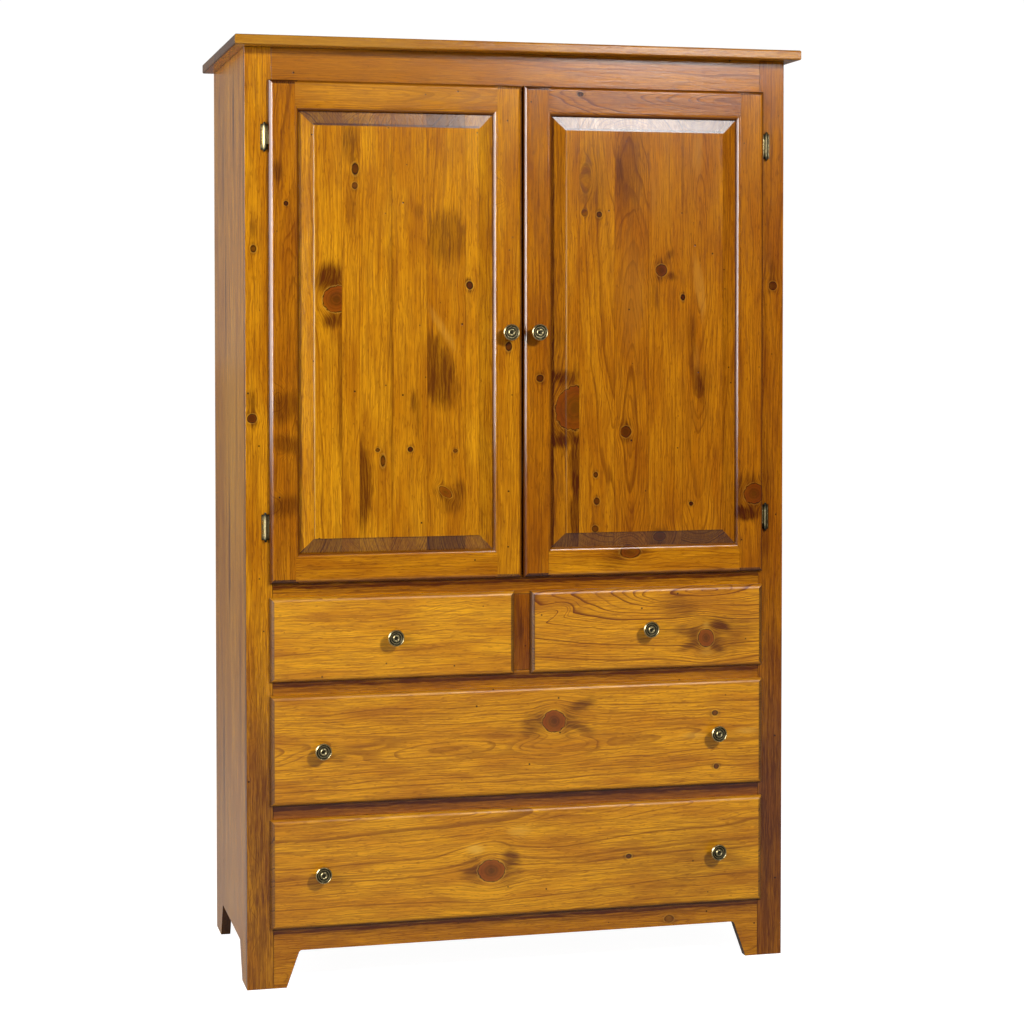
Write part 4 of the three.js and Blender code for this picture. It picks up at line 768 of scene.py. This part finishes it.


# The darker tones of the boards on the right are partly their own stain and partly painted shade,
# for light that falls off towards the right.
boards = {
    "top_board": dict(grain=FLAT, edge=0.41, pales_and_painted_highlights=[
        [-260, -380, 40, 260, 0, 0.6, 0.4]], planks=[
        [-EVERYWHERE, -200, 90, 0.004, 1.0], [-120, -60, 40, 0.03, 1.0], [60, 200, 60, 0.02, 1.0]]),
    "left_side_panel": dict(grain=SIDEWAYS, streaks=0.4,
        pales_and_painted_highlights=[[-60, 1050, 260, 300, 0, 0.35, 0.2]], stains_and_painted_shade=[
        [-63, 1640, 16, 130, 0, 0.9], [101, 1600, 12, 150, 0, 0.8], [66, 1300, 11, 150, 0, 0.9],
        [-100, 1100, 11, 220, 0, 0.3], [20, 800, 14, 200, 0, 0.8], [-140, 560, 12, 180, 0, 0.7],
        [120, 380, 14, 170, 0, 0.8]], planks=[
        [-EVERYWHERE, -150, 40, 0.03, 1.0], [-80, 10, 60, 0.02, 1.04], [70, 160, 40, 0.03, 0.97]]),
    "right_side_panel": dict(grain=SIDEWAYS, streaks=0.3, planks=[
        [-EVERYWHERE, -190, 50, 0.02, 1.0], [-60, 20, 30, 0.04, 0.95], [90, 170, 50, 0.03, 1.04]]),
    "left_face_stile": dict(grain=UPRIGHT, planks=[[-EVERYWHERE, -450, 25, 0.03, 0.95]],
        knots=[[-520.9, 1078.4, 9, 8, 10, 1.0], [-517.6, 1396.2, 5, 6, 0, 0.9]],
        domes=[[-519.3, 497.9, 24, 60, 8, 24], [-518.2, 209.1, 24, 60, -8, 24],
               [-516.6, 113.7, 22, 50, 0, 18]],
        stains_and_painted_shade=[[-520.9, 1110, 12, 30, 0, 0.5], [-517.6, 1430, 9, 26, 0, 0.4],
                # The two broad rows low down make the stile darker towards the bottom.
                [-508, 350, 60, 350, 0, 0.7, 0.1], [-508, 40, 60, 220, 0, 0.3, 0.1]]),
    "right_face_stile": dict(grain=UPRIGHT, tone=0.68,
        planks=[[-EVERYWHERE, 560, 30, 0.04, 0.9]],
        knots=[[511.8, 1330.8, 8, 8, 0, 0.9]],
        stains_and_painted_shade=[[511.8, 1360, 12, 30, 0, 0.5], [500, 900, 14, 160, 0, 0.35],
                # The broad row low down makes the stile darker towards the bottom.
                [508, 300, 60, 480, 0, 0.7, 0.1]]),
    "top_rail": dict(grain=LEVEL, pales_and_painted_highlights=[[-300, 1745, 400, 60, 0, 0.35, 0.3]],
        planks=[[-EVERYWHERE, 1700, 30, 0.05, 0.68]]),
    # The rails under the lips carry a painted shadow.
    "door_rail": dict(grain=LEVEL, stains_and_painted_shade=painted_lip_shadow("left_door_bottom_rail"),
        planks=[[-EVERYWHERE, 700, 40, 0.03, 0.82]]),
    "upper_drawer_rail": dict(grain=LEVEL, tone=0.84,
        stains_and_painted_shade=painted_lip_shadow("left_small_drawer_front")),
    "lower_drawer_rail": dict(grain=LEVEL, stains_and_painted_shade=painted_lip_shadow("middle_drawer_front"),
        planks=[[-EVERYWHERE, 300, 40, 0.03, 0.58]]),
    "base_rail": dict(grain=LEVEL, planks=[[-EVERYWHERE, 40, 30, 0.04, 0.82]],
        knots=[[299.4, 84.2, 9, 7, 0, 0.7]],
        stains_and_painted_shade=painted_lip_shadow("bottom_drawer_front"), domes=[[-469.1, 30.3, 60, 24, 0, 20]]),
    # The divider's dark tone is partly painted shade, between the drawers' lips.
    "drawer_divider": dict(grain=UPRIGHT, tone=0.5,
        stains_and_painted_shade=[[-1.4, 668.8, 7, 45, 0, 0.5]]),

    "left_door_hinge_stile": dict(grain=UPRIGHT, tone=0.72,
        planks=[[-EVERYWHERE, -440, 30, 0.05, 1.0]],
        knots=[[-457.5, 1481, 3.8, 3.7, 0, 1.0]],
        domes=[[-466.6, 1116.8, 26, 40, 0, 22], [-459, 1026.8, 22, 30, 0, 18],
               [-470.4, 916.4, 26, 34, 0, 20]],
        stains_and_painted_shade=[[-474.2, 1541.8, 14, 26, 0, 0.7], [-462, 1100, 44, 38, 15, 0.6, 0.3],
                [-459, 1030, 40, 22, -10, 0.6, 0.3], [-462, 914, 44, 26, 10, 0.65, 0.3]]),
    "left_door_meeting_stile": dict(grain=UPRIGHT, tone=0.88,
        planks=[[-EVERYWHERE, 40, 40, 0.03, 1.0]],
        knots=[[-28.6, 1212.3, 5.9, 7.7, 0, 1.0]],
        domes=[[-38.8, 1506.9, 24, 40, 0, 22]]),
    "left_door_top_rail": dict(grain=LEVEL, pales_and_painted_highlights=[[-245, 1690, 300, 40, 0, 0.4, 0.3]],
        planks=[[-EVERYWHERE, 1690, 20, 0.07, 0.8]]),
    "left_door_bottom_rail": dict(grain=LEVEL,
        planks=[[-EVERYWHERE, 700, 50, 0.03, 0.84]]),
    "left_door_panel": dict(grain=UPRIGHT, tone=0.98,
        planks=[[-EVERYWHERE, -480, 60, 0.05, 1.05], [-352.2, -250, 90, 0.04, 0.96],
                [-318.4, -100, 90, 0.03, 1.03], [-256, -420, 90, 0.03, 0.96],
                [-187.7, -60, 50, 0.05, 0.93], [-113, 60, 90, 0.02, 1.03]],
        knots=[[-326.2, 1547.3, 6.2, 10.3, 0, 1.0, -352, -318], [-327, 1516, 5.1, 5.6, 0, 0.8],
               [-362, 1302.5, 27, 24.4, 20, 1.0, -405, -352.2],
               [-105, 1329.2, 6, 6.8, 20, 1.2], [-273.9, 996.3, 4.3, 9.5, 0, 0.8],
               [-152.9, 935, 14.9, 7.5, -38, 0.9], [-220.9, 1017.4, 4.7, 4.2, 0, 1.1],
               [-133, 1013.5, 4, 3, 0, 0.7], [-283.9, 1017, 3.9, 3, 0, 0.9]],
        stains_and_painted_shade=[[-334, 1600, 27, 50, 0, 0.6, 0.2, -352, -318.4],
                # Painted shade: the dark band down the panel's left edge, where the stile's shadow
                # falls, the band over its right bevel, which faces away from the light, and the dark
                # line along the top bevel under the rail. A thin dark line also runs along the
                # field's top edge.
                [-245.5, 1630.8, 900, 2.4, 0, 0.9, 0.5, -405, -86],
                [-431, 1240, 4.5, WHOLE, 0, 0.55, 0.4], [-66, 1240, 26, WHOLE, 0, 0.3, 0.3],
                [-245, 1655.5, WHOLE, 3.5, 0, 0.8, 0.4],
                [-334, 1480, 15, 50, 0, 0.3, 0.1, -352, -318.4],
                [-376, 1346, 32, 32, 25, 0.95, 0.3, -405, -352.2],
                [-372, 1262, 26, 18, 0, 0.8, 0.2, -405, -352.2],
                [-149.7, 1420, 50, 62, 0, 0.55, 0.5, -187.7, -113],
                [-178, 1175, 44, 95, 22, 0.75, 0.6, -187.7, -108],
                [-318, 950, 26, 95, 0, 0.8, 0.6, -318.4, -285],
                [-213, 1110, 9, 28, 0, 0.6, 0.3],
                [-354, 1150, 8, 180, 0, 0.5, 0.5, -380, -352.2],
                [-140, 912, 28, 26, 0, 0.5, 0.3, -187.7, -113],
                [-122, 940, 14, 26, 0, 0.6, 0.2, -187, -113],
                [-257, 1200, 5, 420, 0, 0.4], [-204, 1080, 7, 60, 0, 0.4],
                [-205, 1470, 9, 20, 0, 0.4]],
        # Painted highlight: the thin full-strength pale line down the field's left arris.
        pales_and_painted_highlights=[[-158, 1245, 10, 64, 32, 0.35], [-404.2, 1240, 1.9, 430, 0, 1.0, 0.6]]),
    "right_door_hinge_stile": dict(grain=UPRIGHT, tone=0.67,
        planks=[[-EVERYWHERE, 380, 60, 0.04, 1.0]],
        knots=[[470, 920.8, 21.1, 20, 0, 0.9]],
        stains_and_painted_shade=[[450, 882, 32, 17, -12, 1.0, 0.5], [440, 925, 12, 50, 0, 0.6]]),
    "right_door_meeting_stile": dict(grain=UPRIGHT, tone=0.65,
        planks=[[-EVERYWHERE, -60, 50, 0.03, 1.0]],
        knots=[[33.3, 1151, 6.8, 6.2, 0, 1.0]]),
    "right_door_top_rail": dict(grain=LEVEL, tone=0.6, ring=1.6,
        planks=[[-EVERYWHERE, 1692, 42, -0.13, 1.0]],
        knots=[[113.8, 1697.8, 5, 3.8, 0, 1.0]]),
    "right_door_bottom_rail": dict(grain=LEVEL,
        planks=[[-EVERYWHERE, 760, 50, 0.04, 0.9]],
        knots=[[215.2, 812, 20, 12, 0, 0.8]],
        stains_and_painted_shade=[[180, 795, 40, 18, 0, 0.4]]),
    "right_door_panel": dict(grain=UPRIGHT, tone=0.79,
        planks=[[-EVERYWHERE, -60, 50, 0.06, 0.96], [112.1, 190, 60, -0.06, 1.0],
                [183.3, 214, 26, 0.11, 0.84], [252.2, 150, 60, 0.05, 0.93],
                [322.3, 352, 22, -0.09, 0.88]],
        knots=[[124.6, 1536.3, 11.1, 26.9, 0, 0.35], [152.1, 1467, 4.9, 5, 0, 1.0],
               [122.4, 1469.8, 6, 6, 0, 0.4], [278.2, 1360.1, 10.9, 10.9, 0, 1.0],
               [322.2, 1307.4, 4.1, 5.1, 0, 1.1], [104, 1093.2, 37, 44, -20, 0.9, 40, 112.1],
               [206.4, 1045.9, 10.2, 10.5, 0, 1.0], [145.5, 963.2, 4.1, 4.7, 0, 0.9],
               [147.5, 911.7, 5.3, 6.2, 0, 0.9], [339.9, 903.4, 3.9, 3.3, 0, 1.1],
               [144.5, 858.3, 6.1, 5.8, 0, 0.8], [276.7, 840.1, 12.3, 9, 0, 0.9]],
        # Painted shade: the dark bands down the panel's left edge and left bevel, where the stile's
        # shadow falls, the band over its right bevel, which faces away from the light, and the dark
        # line along the top bevel under the rail. A thin dark line also runs along the field's top
        # edge.
        stains_and_painted_shade=[[245.5, 1630.8, 900, 2.4, 0, 0.9, 0.5, 86, 405],
                [60, 1240, 4.5, WHOLE, 0, 0.8, 0.4], [73, 1240, 14, WHOLE, 0, 0.25, 0.3],
                [145, 1530, 38, 130, 0, 0.3, 0.1, 112.1, 183.3],
                [425, 1240, 26, WHOLE, 0, 0.15, 0.3], [245, 1655.5, WHOLE, 3.5, 0, 0.8, 0.4],
                [78, 1151.7, 34, 17, 0, 0.7, 0.2, 30, 112.1],
                [82, 1030, 34, 17, 0, 0.75, 0.2, 30, 112.1],
                [108, 985, 20, 60, 0, 0.8, 0.5, 60, 112.1],
                [108, 890, 20, 75, 0, 0.8, 0.5, 85, 112.1],
                [341, 1230, 12, 60, 0, 0.5], [352, 1140, 14, 60, 15, 0.5],
                [298.1, 1349, 14.4, 10, -30, 0.7], [295.9, 1390.7, 9, 16, -30, 0.6],
                [265, 1310, 12, 40, 0, 0.35], [366.4, 1140.4, 16.5, 39.1, 0, 0.4],
                [192, 1550, 16, 60, 0, 0.5, 0.1, 183.3, 252],
                [218, 1560, 38, 130, 0, 0.45, 0.2, 183.3, 252],
                [330, 1060, 60, 110, -25, 0.1]],
        pales_and_painted_highlights=[[352, 1590, 12, 60, 0, 0.5, 0.4], [218, 1310, 34, 130, 0, 0.3, 0.3],
               [356, 1330, 12, 70, 8, 0.6, 0.5],
               [350, 1180, 8, 50, 0, 0.3], [262, 1500, 8, 60, 0, 0.3],
               # Painted highlight: the thin full-strength pale line down the field's left arris.
               [86.8, 1240, 1.9, 430, 0, 1.0, 0.6]],
        domes=[[124.6, 1536.3, 26, 60, 0, 18, 112.1, 183.3]]),

    "left_small_drawer_front": dict(grain=LEVEL, specks=0.75,
        planks=[[-EVERYWHERE, 800, 90, 0.05, 1.15]]),
    "right_small_drawer_front": dict(grain=LEVEL,
        ring=1.9, planks=[[-EVERYWHERE, 728, 30, -0.167, 1.05]],
        knots=[[371.3, 638.4, 15.7, 17.8, 10, 1.0]],
        stains_and_painted_shade=[[395, 645, 85, 45, 0, 0.4, 0.5], [399.6, 662, 28, 13, -20, 0.75],
                [333.4, 622, 26, 10, 20, 0.6],
                [330, 655, 50, 14, -15, 0.4], [395, 618, 22, 9, -20, 0.5],
                [318, 702, 48, 30, 0, 0.5, 0.2]],
        pales_and_painted_highlights=[[372, 664, 9, 8, 0, 0.8], [372, 610, 16, 8, 0, 0.4]],
        domes=[[60, 700, 60, 20, 15, 16]]),
    "middle_drawer_front": dict(grain=LEVEL,
        ring=1.2, planks=[[-EVERYWHERE, 448, 34, 0.03, 1.06]],
        knots=[[62.1, 486.5, 22.1, 21.3, 0, 1.0], [393.2, 383.6, 4.6, 4.8, 0, 1.0],
               [390.3, 489.5, 5.4, 4.7, 0, 0.9]],
        stains_and_painted_shade=[[119, 515.3, 34, 15.5, 20, 0.8], [119.2, 470, 34, 12, -20, 0.7],
                [14.7, 479.5, 24, 27.1, 0, 0.6]],
        pales_and_painted_highlights=[[346.6, 446.9, 31.1, 8, 0, 0.5], [457, 452.1, 29.4, 8, 0, 0.5]],
        domes=[[62, 441, 130, 22, 0, 16], [-330, 446, 224, 30, 3, 14]]),
    "bottom_drawer_front": dict(grain=LEVEL,
        ring=1.2, planks=[[-EVERYWHERE, 330, 60, 0.07, 1.14]],
        knots=[[-62.9, 202.6, 26.3, 21.3, 0, 1.0], [213.4, 215.4, 4.9, 3.9, 0, 1.0]],
        stains_and_painted_shade=[[330, 200, 200, 100, 0, 0.32, 0.1], [-23.3, 226.3, 22, 17.5, -30, 0.8],
                [-100, 200, 30, 12, 10, 0.4]],
        pales_and_painted_highlights=[[-94.8, 246, 21.8, 11.6, 0, 0.8], [-7.4, 275.8, 28, 12, 0, 0.4]],
        domes=[[-60, 262, 120, 22, 12, 9]]),
}


FLUSH = 0.02  # mm
EASE = 0.5  # mm off an arris
FIELD_EASE = 2.3
DOOR_EDGE_STAIN_AND_SHADE = 0.72  # how much the shaped edges of the doors' pieces are darkened: partly stain they drank, partly painted shade
DRAWER_EDGE_STAIN_AND_SHADE = 0.3
DRAWER_GLOSS = 0.3


def level_with(face):
    """Picks the edges that lie in an upright plane facing the front."""
    return lambda a, b: all(abs(v.y - face) < FLUSH for v in (a, b))


def field_edge(a, b):
    """Picks the upright arrises of the raised field of a door panel."""
    return all(abs(v.y - FIELD_FACE) < FLUSH for v in (a, b)) and abs(a.x - b.x) < FLUSH


arrises = {
    "left_door_panel": field_edge,
    "right_door_panel": field_edge,
    **{n: level_with(FACE) for n in (
        "left_face_stile", "right_face_stile", "top_rail", "door_rail", "upper_drawer_rail",
        "lower_drawer_rail", "base_rail", "drawer_divider")},
}
for seed, (node, told) in enumerate(boards.items(), 1):
    if "_door_" in node:
        told["edge"] = DOOR_EDGE_STAIN_AND_SHADE
    elif node.endswith("drawer_front"):
        told.update(edge=DRAWER_EDGE_STAIN_AND_SHADE, gloss=DRAWER_GLOSS)
    material = sawn_wood("stained knotty pine " + node.replace("_", " "), node,
                         *told.pop("grain"), seed, STAINED, **told)
    dressed(node, material, arrises.get(node), FIELD_EASE if "door_panel" in node else EASE)

for seed, node in enumerate(("tv_deck", "media_shelf"), 31):
    finish_node(node, sawn_wood("stained pine " + node, node, *FLAT, seed, STAINED, tone=0.9))

DRAWERS = ("left_small", "right_small", "middle", "bottom")
bare = {
    "rear_base_rail": LEVEL, "lower_web_frame": FLAT, "middle_web_frame": FLAT,
    "upper_web_frame": FLAT, **{d + "_drawer_box": BOX_SIDE for d in DRAWERS}}
for seed, (node, grain) in enumerate(bare.items(), 41):
    finish_node(node, sawn_wood("bare pine " + node, node, *grain, seed, BARE, gloss=0.55,
                                specks=0.1))
plywood = {"back_panel": UPRIGHT, **{d + "_drawer_bottom": BOX_BOTTOM for d in DRAWERS}}
for seed, (node, grain) in enumerate(plywood.items(), 51):
    finish_node(node, sawn_wood("birch plywood " + node, node, *grain, seed, VENEER, gloss=0.5,
                                specks=0.0, planks=[[-EVERYWHERE, 0, 14, 0.02, 1.0]]))


# Fittings

brass = antique_brass("antique brass")


def patinated(piece, rule):
    """Stores how dark each point of the piece is, from 0, rubbed bright, to 1, black."""
    spots = piece.data.attributes.new("patina", "FLOAT", "POINT")
    spots.data.foreach_set("value", [rule(v.co * PER_METRE) for v in piece.data.vertices])


# From the middle of the bolt head behind the wood to the dimple in front:
# radius and height over the wood in mm, and patina.
KNOB_OUTLINE = [
    [0.0, -21.3, 0.5], [4.2, -21.3, 0.4], [4.5, -21.0, 0.2], [4.5, -19.3, 0.5], [2.0, -19.3, 0.7],
    [2.0, 0.3, 0.7], [6.9, 0.3, 0.6], [7.04, 0.9, 0.3], [6.9, 1.7, 0.3], [6.1, 2.4, 0.5],
    [5.2, 4.0, 0.8], [4.7, 6.5, 0.8], [4.7, 9.5, 0.8], [5.4, 12.0, 0.7], [7.6, 14.6, 0.6],
    [10.8, 16.6, 0.5], [13.6, 17.9, 0.35], [15.4, 19.1, 0.25], [16.0, 20.5, 0.2],
    [15.8, 21.9, 0.2], [15.0, 23.1, 0.25], [14.2, 23.5, 0.3], [13.5, 23.1, 0.8],
    [12.8, 22.2, 1.0], [11.9, 21.5, 0.95], [10.9, 21.1, 0.85], [10.4, 21.3, 0.6],
    [9.8, 21.3, 0.6], [9.2, 21.0, 0.95], [8.2, 21.1, 1.0], [7.5, 21.3, 0.9],
    [7.0, 22.6, 0.35], [6.7, 24.2, 0.3], [6.0, 25.0, 0.25], [5.0, 25.2, 0.3], [4.2, 24.7, 0.6],
    [3.4, 23.8, 1.0], [2.2, 23.5, 0.9], [1.2, 23.4, 0.95], [0.0, 23.4, 1.0],
]
KNOB_STEPS = 64
KNOB_SHARP = 50.0  # degrees


def knob(node, front):
    """A turned knob with the bolt that holds it. front is the wood's face, in mm."""
    low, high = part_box(node)
    x, _, z = in_mm((low + high) / 2)
    bm = bmesh.new()
    depth = bm.verts.layers.float.new("patina")
    outline = []
    for radius, out, dark in KNOB_OUTLINE:
        vert = bm.verts.new((x * MM + radius * MM, (front - out) * MM, z * MM))
        vert[depth] = dark
        outline.append(vert)
    edges = [bm.edges.new(pair) for pair in zip(outline, outline[1:])]
    bmesh.ops.spin(bm, geom=outline + edges, cent=(x * MM, 0.0, z * MM), axis=(0.0, 1.0, 0.0),
                   angle=math.tau, steps=KNOB_STEPS, use_merge=True)
    bmesh.ops.remove_doubles(bm, verts=bm.verts, dist=0.001 * MM)
    bmesh.ops.recalc_face_normals(bm, faces=bm.faces)
    finished(node + "_turned", bm, brass, body_of[node], [node], sharp=KNOB_SHARP)


for held in ("left_door", "right_door", "left_small_drawer", "right_small_drawer",
             "middle_drawer_left", "middle_drawer_right", "bottom_drawer_left",
             "bottom_drawer_right"):
    knob(held + "_knob", DOOR_FACE if "door" in held else DRAWER_FACE)

TIPS_FROM = 23.0  # mm above and below a hinge's middle, where its barrel ends in its tips
BARREL_FRONT = FACE - 1.5
HINGE_EASE = 0.2


def hinge_patina_and_shade(co, middle):
    """A hinge's tips are black, its barrel is rubbed and its leaf bright. The barrels of the right
    hinges are darker than those on the left: painted shade.
    """
    if abs(co.z - middle) > TIPS_FROM:
        return 1.0
    if co.y < BARREL_FRONT:
        # Painted shade: the right hinges' barrels are made darker than the left ones.
        return 0.45 if co.x < 0 else 0.8
    return 0.12


for node in [n for n in nodes if "hinge" in n and n.endswith("leaf")]:
    low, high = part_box(node)
    middle = (low.z + high.z) / 2 * PER_METRE
    leaf = dressed(node, brass, lambda a, b: True, HINGE_EASE)
    patinated(leaf, lambda co: hinge_patina_and_shade(co, middle))
for node in [n for n in nodes if n.endswith("shelf_pin")]:
    finish_node(node, brass)
